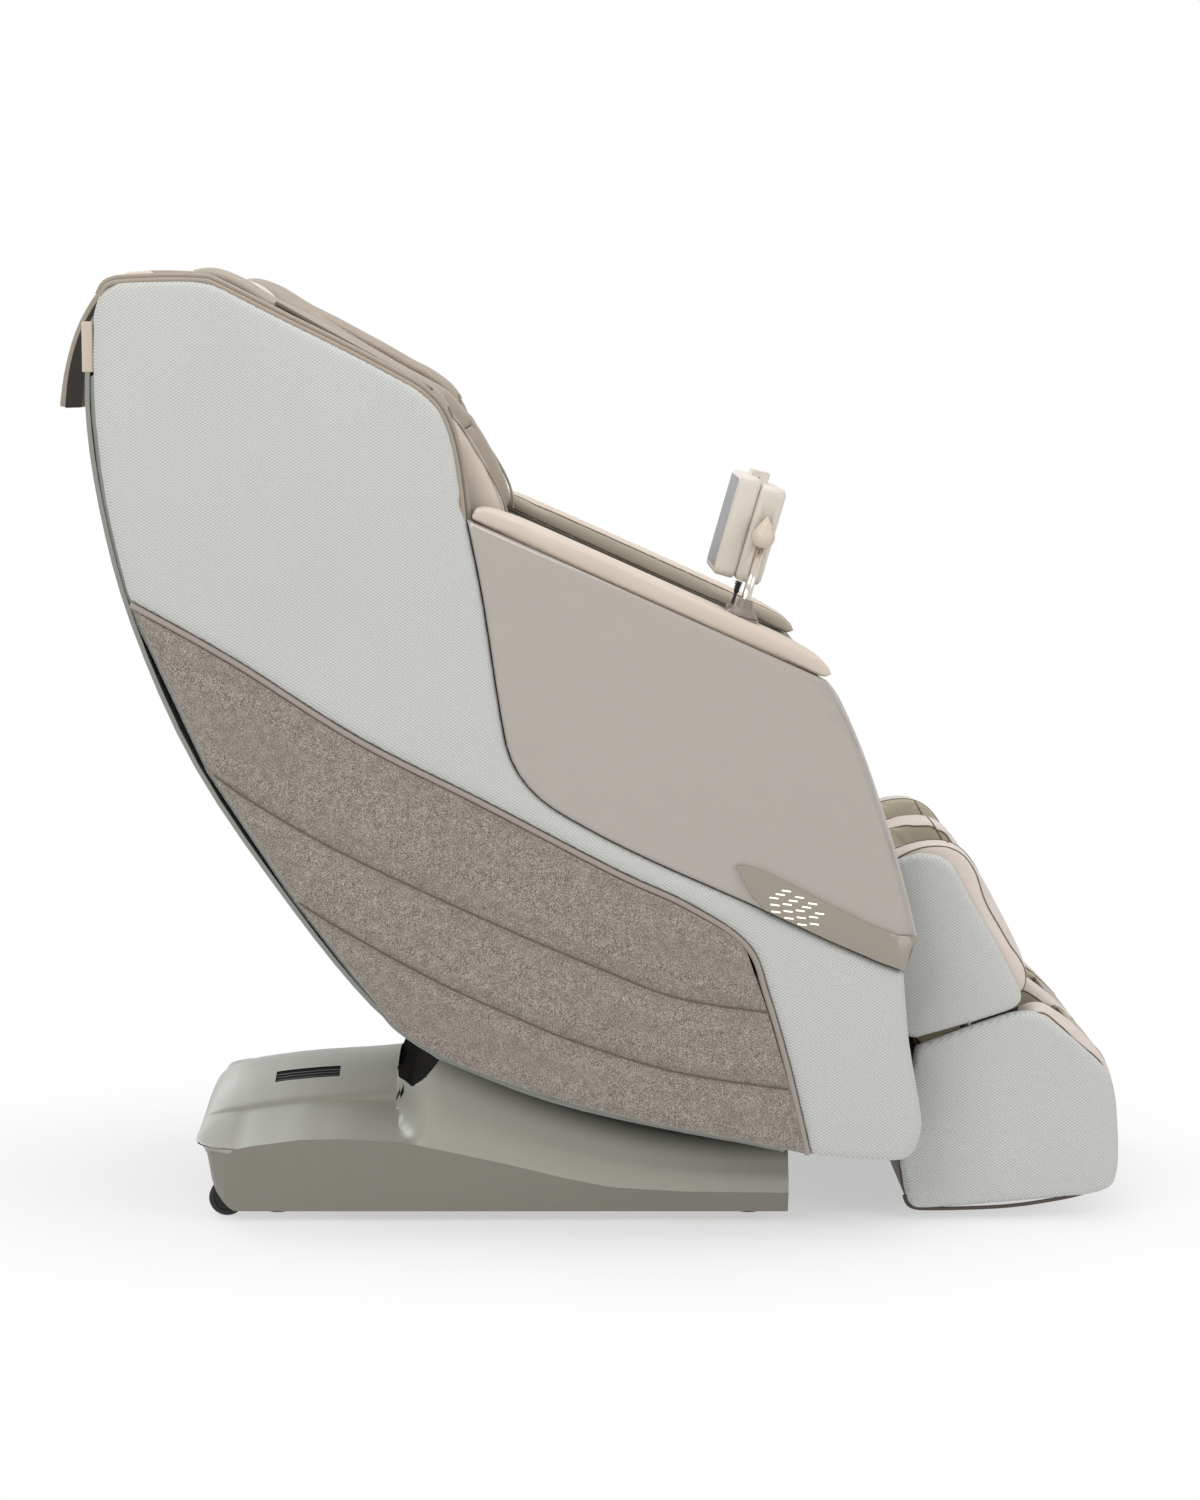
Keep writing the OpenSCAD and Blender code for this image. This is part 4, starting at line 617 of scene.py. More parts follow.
for k in range(rows):
    channel = min(k // channel_rows, 2)
    share = k / channel_rows - channel
    line = quilt_seams[channel] * (1 - share) + quilt_seams[channel + 1] * share
    for i in range(seam_columns):
        x, z = line[i]
        edge = min(share, 1 - share)
        ends = min(1.0, i / 5, (seam_columns - 1 - i) / 5)
        fill = min(1.0, edge / sewn_share) ** 0.5
        fill = 0.75 * fill + 0.25 * math.sin(math.pi * share) ** 0.8
        pucker = noise.noise((x * 55, z * 30, 3.1)) * max(0, 1 - edge / pucker_share) * 0.0011
        swell = noise.noise((x * 6, z * 6, 1.7)) * 0.0012
        y = face_level + valley * (1 - fill * ends**0.5) - (crown + swell) * fill * ends
        y += pucker * min(edge * 20, 1)
        verts.append((x, face_level + rim_drop if k == 0 else y, z))
grid = np.arange(rows * seam_columns).reshape(rows, seam_columns)
rim_loop = np.concatenate([grid[0], grid[1:, -1], grid[-1, -2::-1], grid[-2:0:-1, 0]])
board_gap = 0.0045
front = np.array(verts)
front[grid[0], ::2] -= board_gap * beside(quilt_seams[0])
front[grid[:, -1], 0] -= board_gap
skirt = front[rim_loop]
skirt[:, 1] = rim_level - 0.001
verts = np.concatenate([front, skirt])
corners = (grid[:-1, :-1], grid[1:, :-1], grid[1:, 1:], grid[:-1, 1:])
faces = np.stack(corners, axis=-1).reshape(-1, 4).tolist()
below = len(front) + np.arange(len(rim_loop))
faces += np.stack([rim_loop, np.roll(rim_loop, -1), np.roll(below, -1), below], axis=1).tolist()
faces.append(below[::-1].tolist())
lower_right = closed("lower_side_panel_right", verts, faces)
smoothed(lower_right, 50)
dress(lower_right, tweed)
lower_left = mirrored(lower_right, "lower_side_panel_left")
for side, panel in (("right", lower_right), ("left", lower_left)):
    stated(panel, "capsule", "lower_panel_" + side)


def leather(name, base, rough=0.5, grain=0.25, mottle=0.05):
    """Soft upholstery leather: fine grain cells, creases, and worn and unworn places."""
    made, tree, shader, place = blank(name)
    cells = put(tree, "TexVoronoi", {"Vector": place.outputs["Object"], "Scale": 620}, feature="SMOOTH_F1")
    cloud = cloudy(tree, place, 14, 5)
    crease = cloudy(tree, place, 120, 6)
    mottled(tree, shader, cloud, base, mottle)
    rub = put(tree, "MapRange", {"Value": crease.outputs["Fac"], "To Min": rough - 0.08, "To Max": rough + 0.1})
    tree.links.new(rub.outputs[0], shader.inputs["Roughness"])
    lift = worked(tree, "ADD", cells.outputs["Distance"], crease.outputs["Fac"])
    bumpy(tree, shader, lift, grain, 0.0004)
    shader.inputs["Specular IOR Level"].default_value = 0.4
    return made


pink_leather = leather("pink_beige_leather", colour("cfc3ba"))
olive_leather = leather("olive_leather", colour("a49c88"))
taupe_leather = leather("taupe_leather", colour("9a9089"))
mocha_leather = leather("mocha_leather", colour("988d80"))
soft_beige = leather("soft_beige_leather", colour("c9bcae"), 0.52, 0.25)
# Thread colour for seams and cords; it is also the painted shadow of the cord in the shoulder gap.
thread_and_shadow_brown = finish_of("thread_and_shadow_brown", colour("6b6055"), 0.8, mottle=0.1)


def tube(name, line, radius, corners):
    """A round cord of leather or thread along a line of points."""
    path = bpy.data.curves.new(name, "CURVE")
    path.dimensions = "3D"
    spline = path.splines.new("POLY")
    spline.points.add(len(line) - 1)
    for point, at in zip(spline.points, line):
        point.co = (*at, 1)
    path.bevel_depth = radius
    path.bevel_resolution = max(corners // 2 - 2, 0)
    path.use_fill_caps = True
    made = bpy.data.objects.new(name, path)
    bpy.context.collection.objects.link(made)
    alone(made)
    bpy.ops.object.convert(target="MESH")
    made = bpy.context.object
    made.name = name
    smoothed(made, 50)
    return made


def joined(name, parts):
    """Several objects as one, with every material kept."""
    alone(parts[0])
    for part in parts[1:]:
        part.select_set(True)
    bpy.ops.object.join()
    made = bpy.context.object
    made.name = name
    return made


border_even, rim = evenly(border, 240), evenly(head_line, 160)
rim_out = rim + 0.0052 * beside(rim)
shoulder_line = evenly(through([(-527, 1285), (-502, 1287), (-469, 1275), (-430, 1251), (-390, 1231),
                                (-351, 1210), (-312, 1189), (-272, 1166), (-252, 1156), (-233, 1144),
                                (-216, 1130), (-203, 1112)], 4), 90)
# Painted shadow: a dark cord along this line stands for the shade in the gap between the panel's binding and
# the wing.
gap_shadow_line = evenly(through([(-420, 1248), (-215, 1134)], 8), 30)
gap_shadow_line[:, 1] += 0.004
roll_level, roll_flat = 0.336, 2.6
welt_parts = []


def block(spot, size, turn, width, segments):
    """A box with rounded edges, turned about the axis across the chair."""
    bpy.ops.object.select_all(action="DESELECT")
    bpy.ops.mesh.primitive_cube_add(size=1, location=spot)
    made = bpy.context.object
    made.scale = size
    made.rotation_euler = (0, turn, 0)
    bpy.ops.object.transform_apply(location=True, rotation=True, scale=True)
    applied(made, "BEVEL", width=width, segments=segments)
    return made


def cord_at(name, line, level, radius, corners, material):
    """Adds a cord to the welts, along a line in the chair's side at a level across the chair."""
    made = tube(name, [(x, level, z) for x, z in line], radius, corners)
    dress(made, material)
    welt_parts.append(made)
    return made


for side in (-1, 1):
    cord_at("welt", border_even, side * 0.389, 0.0041, 14, taupe_leather)
    for sewn in quilt_seams[1:3]:
        cord_at("sewn_line", sewn[2:-2], side * 0.3886, 0.0013, 8, thread_and_shadow_brown)
    cord_at("binding", rim, side * 0.3862, 0.0034, 12, mocha_leather)
    cord_at("rim_cover", rim_out, side * 0.3735, 0.0046, 12, mocha_leather)
    roll = cord_at("shoulder_roll", shoulder_line, side * roll_level, 0.011, 20, mocha_leather)
    set_points(roll, points_of(roll) * (1, roll_flat, 1) - (0, side * roll_level * (roll_flat - 1), 0))
    # Painted shadow: a dark cord in the shoulder gap, for the shade between panel and wing.
    cord_at("shoulder_gap_painted_shadow", gap_shadow_line, side * 0.3665, 0.0028, 10, thread_and_shadow_brown)
    welt_parts.append(block((-0.6665, side * 0.357, 1.1945), (0.015, 0.030, 0.066), 0, 0.002, 3))
    dress(welt_parts[-1], soft_beige)
welts = joined("panel_welt_cords", welt_parts)
stated(welts, "capsule", "panel_welts")

rim_fill = padded_copy("side_rim_fill_right", ["side_panel_right", "lower_panel_right"], 0.006, 1)
fill_level, fill_share, fill_reach, fill_top, fill_front = -0.3645, 0.16, 0.0085, 1.157, 0.26
where, lift = points_of(rim_fill), normals_of(rim_fill)
lift[:, 1] = 0
behind = (lift[:, 0] + 0.5 * lift[:, 2] < 0.1) & (where[:, 2] < fill_top) & (where[:, 0] < fill_front)
where += fill_reach * lift * behind[:, None]
where[:, 1] = fill_level + (where[:, 1] - rim_level) * fill_share
set_points(rim_fill, where)
dress(rim_fill, satin_shell)
for side, fill in (("right", rim_fill), ("left", mirrored(rim_fill, "side_rim_fill_left"))):
    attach(fill, "capsule")


# ---- Glossy arm panels ----
# A lacquered taupe moulding closes each arm. Its front edge turns in towards the knee, and a strip
# light with a field of small warm dashes crosses its lower corner, on a raised bar.
gloss_taupe = finish_of("gloss_taupe", colour("a8a19a"), 0.2, mottle=0.015, coat=0.6, spec=0.5)
bar_taupe = finish_of("bar_taupe", colour("928a7e"), 0.24, mottle=0.02, coat=0.5)
nose = through([(305, 757), (322, 733), (352, 666), (377, 595), (405, 506), (428, 416)], 8)


def turned_in(obj, line, reach, drop, level):
    """Bends the outer face of a moulding inwards near a line along its edge."""
    where = points_of(obj)
    away = near_line(where[:, [0, 2]], line)
    face = where[:, 1] < level
    where[face, 1] += drop * np.clip(1 - away[face] / reach, 0, 1) ** 2
    set_points(obj, where)


def cut_rows(obj, planes):
    """Adds rows of edges to a mesh where planes, each a point and a normal, cross it."""
    work = bmesh.new()
    work.from_mesh(obj.data)
    for at, facing in planes:
        bmesh.ops.bisect_plane(work, geom=work.verts[:] + work.edges[:] + work.faces[:], dist=1e-6,
                               plane_co=at, plane_no=facing)
    work.to_mesh(obj.data)
    work.free()


fascia_right = copied("arm_panel_right", "arm_fascia_right")
cut_rows(fascia_right, [((0.18 + 0.03 * k, 0, 0.62), (0.94, 0, 0.34)) for k in range(8)])
cut_rows(fascia_right, [((0, 0, 0.44 + 0.04 * k), (0, 0, 1)) for k in range(9)])
turned_in(fascia_right, nose, 0.034, 0.006, -0.3935)
smoothed(fascia_right, 40)
dress(fascia_right, gloss_taupe)
fascia_left = mirrored(fascia_right, "arm_panel_left")
for side, panel in (("right", fascia_right), ("left", fascia_left)):
    stated(panel, "capsule", "arm_fascia_" + side)

bars = copied("light_bar_housings", "light_bars")
bend_x, bend_z, bend_facing, bar_level, bend_slope = 0.400, 0.40, (0.93, 0, 0.37), 0.3965, 0.28
cut_rows(bars, [((bend_x + step, 0, bend_z), bend_facing) for step in (0, 0.0005)])
where = points_of(bars)
forward = (where[:, 0] - bend_x) * bend_facing[0] + (where[:, 2] - bend_z) * bend_facing[2]
raised = np.abs(where[:, 1]) > bar_level
where[:, 1] -= np.sign(where[:, 1]) * np.clip(forward, 0, 0.03) * bend_slope * raised
set_points(bars, where)
smoothed(bars, 22)
dress(bars, bar_taupe)
stated(bars, "capsule", "light_bars")

lit_dash = bpy.data.materials.new("lit_dash")
lit_dash.use_nodes = True
shader = lit_dash.node_tree.nodes["Principled BSDF"]
shader.inputs["Base Color"].default_value = (0.95, 0.82, 0.62, 1)
shader.inputs["Emission Color"].default_value = (1.0, 0.83, 0.6, 1)
shader.inputs["Emission Strength"].default_value = 1.1
shader.inputs["Roughness"].default_value = 0.4
along_bar = Vector((0.86, 0, -0.42)).normalized()
up_bar = Vector((0.42, 0, 0.86)).normalized()
field_end = Vector((0.236, 0, 0.469))
dash_pitch, dash_shift, row_pitch = 0.0195, 0.0105 * 0.5, 0.0078
dash_size, dash_rows = (0.0120, 0.0006, 0.0019), ((2, 3), (1, 4), (0, 4), (1, 4), (2, 3))
dashes = []
for side in (-1, 1):
    for row, (first, count) in enumerate(dash_rows):
        for k in range(count):
            spot = field_end + along_bar * (dash_shift * first + dash_pitch * k)
            spot += up_bar * (row_pitch * (2 - row))
            dashes.append(block((spot.x, side * 0.4, spot.z), dash_size, 0.14, 0.0004, 2))
dashes = joined("light_dashes", dashes)
dress(dashes, lit_dash)
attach(dashes, "capsule")


# ---- Arm pads ----
# Each arm is capped by a foam pad in soft beige leather. A seam runs along its inner top edge, and
# its inner side is in a darker leather.
def foam_filled(obj, cap, pressure, frames):
    """Lets air pressure swell the cover, as foam does, and keeps each point within cap of its start."""
    scene = bpy.context.scene
    before = points_of(obj)
    cloth = obj.modifiers.new("cover", "CLOTH")
    cloth.settings.quality = 4
    cloth.settings.mass = 0.3
    cloth.settings.use_pressure = True
    cloth.settings.uniform_pressure_force = pressure
    cloth.settings.effector_weights.gravity = 0
    cloth.point_cache.frame_start = 1
    cloth.point_cache.frame_end = frames
    for frame_now in range(1, frames + 1):
        scene.frame_set(frame_now)
    alone(obj)
    bpy.ops.object.modifier_apply(modifier="cover")
    scene.frame_set(1)
    moved = points_of(obj) - before
    far = np.linalg.norm(moved, axis=1)[:, None] + 1e-9
    set_points(obj, before + moved / far * cap * np.tanh(far / cap))


def filled_cover(name, node, voxel, relax, shrink, cap, pressure, frames):
    """A fine leather cover over a node's form: cut a little small, then filled with foam."""
    made = padded_copy(name, [node], voxel, relax, -shrink)
    foam_filled(made, cap, pressure, frames)
    applied(made, "SUBSURF", levels=1, render_levels=1)
    return made


def seam(obj, at, facing, where_ok=None, depth=0.0012, half=0.0012, pull=0.0, reach=0.03):
    """Sews a straight line into a cover: a narrow valley where a plane crosses it, in the thread's
    material, and a wide soft dip beside it."""
    at, facing = Vector(at), Vector(facing).normalized()
    work = bmesh.new()
    work.from_mesh(obj.data)
    work.normal_update()
    chosen = [f for f in work.faces if where_ok is None or where_ok(f.calc_center_median(), f.normal)]
    near = [f for f in chosen if abs((f.calc_center_median() - at).dot(facing)) < 0.02]
    for offset in (-half, 0, half):
        parts = set(near)
        parts.update(e for f in near for e in f.edges)
        parts.update(v for f in near for v in f.verts)
        made = bmesh.ops.bisect_plane(work, geom=list(parts), dist=1e-6,
                                      plane_co=at + facing * offset, plane_no=facing)
        near = [g for g in made["geom"] if isinstance(g, bmesh.types.BMFace)]
    work.normal_update()
    allowed = {v for f in chosen if f.is_valid for v in f.verts} | {v for f in near for v in f.verts}
    moves = []
    for v in allowed:
        away = abs((v.co - at).dot(facing))
        sink = depth if away < half * 0.5 else 0.0
        if pull and away < reach:
            sink += pull * (1 - away / reach) ** 2
        if sink:
            moves.append((v, -v.normal * sink))
    for v, move in moves:
        v.co += move
    for f in near:
        if abs((f.calc_center_median() - at).dot(facing)) < half:
            f.material_index = 1
    work.to_mesh(obj.data)
    work.free()


def section(obj, at, facing, where_ok):
    """The lines in which a plane crosses a mesh, each a list of points with their normals."""
    work = bmesh.new()
    work.from_mesh(obj.data)
    made = bmesh.ops.bisect_plane(work, geom=work.verts[:] + work.edges[:] + work.faces[:], dist=1e-7,
                                  plane_co=at, plane_no=facing)
    work.normal_update()
    ways = {}
    for e in made["geom_cut"]:
        if isinstance(e, bmesh.types.BMEdge):
            middle = (e.verts[0].co + e.verts[1].co) / 2
            if where_ok(middle, (e.verts[0].normal + e.verts[1].normal).normalized()):
                ways.setdefault(e.verts[0], []).append(e.verts[1])
                ways.setdefault(e.verts[1], []).append(e.verts[0])
    lines = []
    left = set(ways)
    starts = [v for v in ways if len(ways[v]) == 1] + list(ways)
    for v in starts:
        if v not in left:
            continue
        line = [v]
        left.discard(v)
        while True:
            onward = [w for w in ways[line[-1]] if w in left]
            if not onward:
                break
            line.append(onward[0])
            left.discard(onward[0])
        if len(line) > 3:
            lines.append([(w.co.copy(), w.normal.copy()) for w in line])
    work.free()
    return lines


inner_taupe = leather("inner_taupe_leather", colour("aca293"), 0.55, 0.25)
inner_seam = 0.3135
for side, sign in (("right", -1), ("left", 1)):
    pad = filled_cover("arm_rest_pad_" + side, "arm_pad_" + side, 0.004, 3, 0.002, 0.005, 3.0, 14)
    painted(pad, [soft_beige, thread_and_shadow_brown, inner_taupe],
            lambda c, n, s=sign: 2 if s * c.y < inner_seam else 0)
    seam(pad, (0, sign * inner_seam, 0), (0, 1, 0))
    stated(pad, "capsule", "arm_pad_" + side)

# ---- Arm liners ----
# The inner side of each arm is a padded wall in taupe leather, screwed on over a gutter for the
# forearm. One seam runs along each wall.
liners = padded_copy("arm_inner_walls", ["arm_liners"], 0.006, 4, -0.001)
foam_filled(liners, 0.004, 2.0, 10)
painted(liners, [inner_taupe, thread_and_shadow_brown], lambda c, n: 0)
for sign in (-1, 1):
    seam(liners, (0, 0, 0.62), (0.25, 0, 1), lambda c, n, s=sign: s * n.y < -0.5 and s * c.y > 0,
         depth=0.001, pull=0.0015, reach=0.02)
stated(liners, "capsule", "arm_liners")

# ---- Shoulder wings ----
# A deep side wing closes each side of the head and shoulders. Its flank is soft beige leather, and
# its rim and inner face are mocha, joined by a narrow seam.
wing_right = filled_cover("shoulder_side_wing_right", "shoulder_wing_right", 0.006, 3, 0.003, 0.007, 4.0, 16)
flank_line = evenly(through([(-199, 1125), (-191, 1102), (-179, 1088), (-167, 1067), (-154, 1046),
                             (-140, 1024), (-130, 1006), (-122, 987), (-118, 970), (-117, 953)], 6), 80)
flank_x, flank_z = flank_line[::-1, 0], flank_line[::-1, 1]
painted(wing_right, [soft_beige, thread_and_shadow_brown, mocha_leather],
        lambda c, n: 0 if c.y < -0.28 and n.y < 0.2 and c.x < np.interp(c.z, flank_z, flank_x) else 2)
for spot, turn in (((-0.30, 0, 1.0), (0.55, 0, -0.84)), ((-0.25, 0, 0.86), (0.5, 0, -0.87)),
                   ((-0.36, 0, 1.12), (0.6, 0, -0.8))):
    seam(wing_right, spot, turn, lambda c, n: n.y > 0.55, half=0.0014, pull=0.004, reach=0.035)
skin = points_of(wing_right)
skin = skin[normals_of(wing_right)[:, 1] < -0.3]
run = [(x, skin[np.argmin((skin[:, 0] - x) ** 2 + (skin[:, 2] - z) ** 2), 1], z) for x, z in flank_line]
run = np.array(run)
for _ in range(12):
    run[1:-1, 1] = (run[:-2, 1] + 2 * run[1:-1, 1] + run[2:, 1]) / 4
piping = tube("wing_piping", run, 0.0019, 10)
dress(piping, mocha_leather)
wing_right = joined("shoulder_side_wing_right", [wing_right, piping])
wing_left = mirrored(wing_right, "shoulder_side_wing_left")
for side, wing in (("right", wing_right), ("left", wing_left)):
    stated(wing, "capsule", "shoulder_wing_" + side)

# ---- Back cushion ----
# The back is a long foam cushion over the massage rollers. Its middle is perforated leather, and
# sewn channels cross it and its two bolsters.
perforated = leather("perforated_leather", colour("bdb2a3"), 0.6, 0.2)
tree = perforated.node_tree
shader = tree.nodes["Principled BSDF"]
place = put(tree, "TexCoord")
holes = put(tree, "TexVoronoi",
            {"Vector": place.outputs["Object"], "Scale": 150, "Randomness": 0.0}, distance="EUCLIDEAN")
dot = put(tree, "MapRange", {"Value": holes.outputs["Distance"], "From Min": 0.22, "From Max": 0.3})
plain_tone = shader.inputs["Base Color"].links[0].from_socket
pierced = put(tree, "Mix", {0: dot.outputs[0], 6: colour("564d45"), 7: plain_tone}, data_type="RGBA")
tree.links.new(pierced.outputs[2], shader.inputs["Base Color"])

rock = Vector((rocking_x / 1000, 0, rocking_z / 1000))


def round_rock(angle):
    """The direction that runs along the back at an angle from straight below the rocking centre."""
    turned = math.radians(angle)
    return Vector((-math.cos(turned), 0, math.sin(turned)))


back = filled_cover("back_cushion_cover", "back_cushion", 0.008, 3, 0.006, 0.016, 4.0, 20)
back_seam = 0.1
painted(back, [pink_leather, thread_and_shadow_brown, perforated], lambda c, n: 2 if abs(c.y) < back_seam else 0)
facing_sitter = lambda c, n: n.x > 0.15
for y in (-back_seam, back_seam):
    seam(back, (0, y, 0), (0, 1, 0), facing_sitter, 0.0015, 0.0016, pull=0.006, reach=0.04)
for angle in (46, 56, 66, 76, 86):
    seam(back, rock, round_rock(angle), facing_sitter, half=0.0016, pull=0.006, reach=0.05)
stated(back, "capsule", "back_cushion")

# ---- Seat cushion ----
# A thick foam seat with a rolled front edge. Two seams part its perforated middle from the sides,
# and two more cross it, one of them behind the roll.
seat = filled_cover("seat_cushion_cover", "seat_cushion", 0.007, 3, 0.004, 0.012, 4.0, 20)
seat_seam, roll_seam = 0.12, 0.25
painted(seat, [pink_leather, thread_and_shadow_brown, perforated],
        lambda c, n: 2 if abs(c.y) < seat_seam and c.x < roll_seam else 0)
facing_up = lambda c, n: n.z > 0.3
for spot, turn in (((0, -seat_seam, 0), (0, 1, 0)), ((0, seat_seam, 0), (0, 1, 0)),
                   ((roll_seam, 0, 0), (1, 0, 0)), ((0.08, 0, 0), (1, 0, 0))):
    seam(seat, spot, turn, facing_up, 0.0015, 0.0016, pull=0.005, reach=0.04)
stated(seat, "capsule", "seat_cushion")

# ---- Head pillow and its flap ----
# A loose head pillow hangs on a weighted flap that lies over the top of the back and down behind
# it. Dark sheets inside the flap's side edges are painted shadow, for the shade between flap and
# shell, and its trim closes the gap at the top of the back.
pillow = filled_cover("head_pillow_cover", "head_pillow", 0.005, 4, 0.004, 0.012, 4.0, 20)
pillow_seam = 0.165
painted(pillow, [pink_leather, thread_and_shadow_brown, mocha_leather], lambda c, n: 2 if abs(c.y) > pillow_seam else 0)
for y in (-pillow_seam, pillow_seam):
    seam(pillow, (0, y, 0), (0, 1, 0), None, 0.0014, 0.0014, pull=0.004, reach=0.025)
seam(pillow, (-0.44, 0, 1.185), (-0.42, 0, 0.9), lambda c, n: n.x > 0.2, 0.0014, 0.0014,
     pull=0.006, reach=0.035)
stated(pillow, "capsule", "head_pillow")

flap = padded_copy("pillow_flap_cover", ["pillow_flap"], 0.003, 2)
where = points_of(flap)
hang = np.clip((1.25 - where[:, 2]) / 0.13, 0, 1)[:, None]
set_points(flap, where - hang * (0.008, 0, 0.008))
flap_back = through([(-545, 1297), (-600, 1298), (-642, 1292), (-672, 1272), (-696, 1239), (-713, 1201),
                     (-724, 1157), (-729, 1113)], 3)
# Painted shadow: a dark sheet inside each side edge of the flap stands for the shade between the flap and the
# shell.
shadow_brown = finish_of("flap_painted_shadow", colour("2b2520"), 0.8, mottle=0.1)
painted(flap, [mocha_leather, thread_and_shadow_brown, shadow_brown], lambda c, n: 0)
flap_back = evenly(flap_back, 60)
flap_front = evenly(through([(-606, 1289), (-638, 1283), (-660, 1267), (-677, 1241), (-688, 1211),
                             (-694, 1164), (-698, 1113)], 6), 60)
near, far = (flap_back + 0.0085 * beside(flap_back))[18:], flap_front[18:]
n = len(near)
flap_edge = 0.2057
flap_shadow_sheets = []
for y in (-flap_edge, flap_edge):
    verts = [(x, y + lift, z) for lift in (-0.0005, 0.0005) for line in (near, far) for x, z in line]
    faces = []
    for i in range(n - 1):
        faces += [(i, i + 1, n + i + 1, n + i), (2 * n + i, 3 * n + i, 3 * n + i + 1, 2 * n + i + 1),
                  (i, 2 * n + i, 2 * n + i + 1, i + 1), (n + i, n + i + 1, 3 * n + i + 1, 3 * n + i)]
    faces += [(0, n, 3 * n, 2 * n), (n - 1, 3 * n - 1, 4 * n - 1, 2 * n - 1)]
    flap_shadow_sheets.append(closed("flap_painted_shadow", verts, faces))
    dress(flap_shadow_sheets[-1], shadow_brown)
for y in (-0.192, 0.192):
    seam(flap, (0, y, 0), (0, 1, 0), depth=0.0008, half=0.001)
flap = joined("pillow_flap_cover", [flap] + flap_shadow_sheets)
stated(flap, "capsule", "pillow_flap")

trim = padded_copy("top_trim_cover", ["top_trim"], 0.0035, 2)
dress(trim, soft_beige)
stated(trim, "capsule", "top_trim")

# ---- Calf rest ----
# Two padded boards in the pale weave close the calf rest. Between them lie leather pads with two
# deep wells for the calves: olive inside the wells, and pink-beige over the walls.
leg_turn = math.radians(28)
knee = Vector((0.380, 0, 0.450))
out_of_leg = Vector((math.cos(leg_turn), 0, math.sin(leg_turn)))
up_leg = Vector((-math.sin(leg_turn), 0, math.cos(leg_turn)))


def side_board(name, node, rise):
    """One pair of padded boards, crowned on both outer faces."""
    made = padded_copy(name, [node], 0.0045, 3, 0.0005)
    where = points_of(made)
    flat = np.abs(where[:, 1]) > 0.2775
    rim = where[(~flat) & (np.abs(where[:, 1]) > 0.27) & (where[:, 1] < 0)][:, [0, 2]]
    away = from_rim(where[flat][:, [0, 2]], rim, 0.008)
    where[flat, 1] += np.sign(where[flat, 1]) * rise * (1 - np.exp(-away / 0.04))
    set_points(made, where)
    dress(made, mint_weave)
    return made


calf_boards = side_board("calf_side_boards", "calf_panels", 0.005)
stated(calf_boards, "calf_rest", "calf_panels")

dark_leather = leather("dark_brown_leather", colour("4b4037"), 0.5, 0.3)
well_depth, well_outer, calf_inner, foot_inner, board_edge = 0.126, 0.213, 0.043, 0.034, 0.258
across = Vector((0, 1, 0))


def calf_colour(c, n):
    """Olive between a well's inner and outer seam, dark under the pads, and pink-beige elsewhere."""
    if n.dot(up_leg) < -0.6 and (c - knee).dot(out_of_leg) < 0.17:
        return 3
    return 2 if calf_inner < abs(c.y) < well_outer else 0


def well_cuts(inner):
    """The planes along both seams of both wells."""
    return [(across * y, across) for y in (-well_outer, -inner, inner, well_outer)]


calf = filled_cover("calf_pad_covers", "calf_pads", 0.0055, 3, 0.0015, 0.005, 3.0, 14)
cut_rows(calf, [(knee + out_of_leg * well_depth, out_of_leg)] + well_cuts(calf_inner))
painted(calf, [pink_leather, thread_and_shadow_brown, olive_leather, dark_leather], calf_colour)
seam(calf, knee + out_of_leg * well_depth, out_of_leg, lambda c, n: abs(c.y) < 0.225)
for step in (-0.05, -0.13):
    seam(calf, knee + up_leg * step, up_leg,
         lambda c, n: (c - knee).dot(out_of_leg) < well_depth and calf_inner < abs(c.y) < 0.197,
         half=0.0014, pull=0.004)


def piped(obj, inner, where_ok, radius=0.0011):
    """Thin cords that follow a cover's surface along its wells' seams and its outer edges."""
    cords = []
    for y in (-board_edge, -well_outer, -inner, inner, well_outer, board_edge):
        for line in section(obj, (0, y, 0), (0, 1, 0), where_ok):
            if len(line) > 12:
                run = evenly(np.array([tuple(p + n * radius * 0.2) for p, n in line]), len(line))
                for _ in range(10):
                    run[1:-1] = (run[:-2] + 2 * run[1:-1] + run[2:]) / 4
                cords.append(tube("cord", evenly(run, max(len(line) // 2, 8)), radius, 8))
                dress(cords[-1], thread_and_shadow_brown)
    return joined(obj.name, [obj] + cords)


calf = piped(calf, calf_inner, lambda c, n: (c - knee).dot(out_of_leg) > 0.03)
stated(calf, "calf_rest", "calf_pads")

calf_rear = padded_copy("calf_rear_cover", ["calf_back_cover"], 0.0025, 2)
dress(calf_rear, dark_leather)
stated(calf_rear, "calf_rest", "calf_back_cover")
dress(nodes["calf_frame"], coated_steel)

# ---- Foot rest ----
# The foot rest slides out of the calf rest on two rods. It has the same boards and leathers, a dark
# sole, and two rows of sole rollers under its foot wells.
foot_boards = side_board("foot_side_boards", "foot_panels", 0.005)
stated(foot_boards, "foot_rest", "foot_panels")


def foot_colour(c, n):
    """As on the calf pads, with the dark leather behind and at the rear of the outer walls."""
    rear = c.x < 0.585 and c.z > 0.232 + 0.36 * (c.x - 0.44) and abs(c.y) > well_outer
    if rear or c.x < 0.446:
        return 3
    return 2 if foot_inner < abs(c.y) < well_outer else 0


foot = filled_cover("foot_pad_covers", "foot_pads", 0.006, 3, 0.0015, 0.005, 3.0, 14)
cut_rows(foot, well_cuts(foot_inner))
painted(foot, [pink_leather, thread_and_shadow_brown, olive_leather, dark_leather], foot_colour)
foot = piped(foot, foot_inner, lambda c, n: c.z > 0.07 and c.x > 0.48)
stated(foot, "foot_rest", "foot_pads")

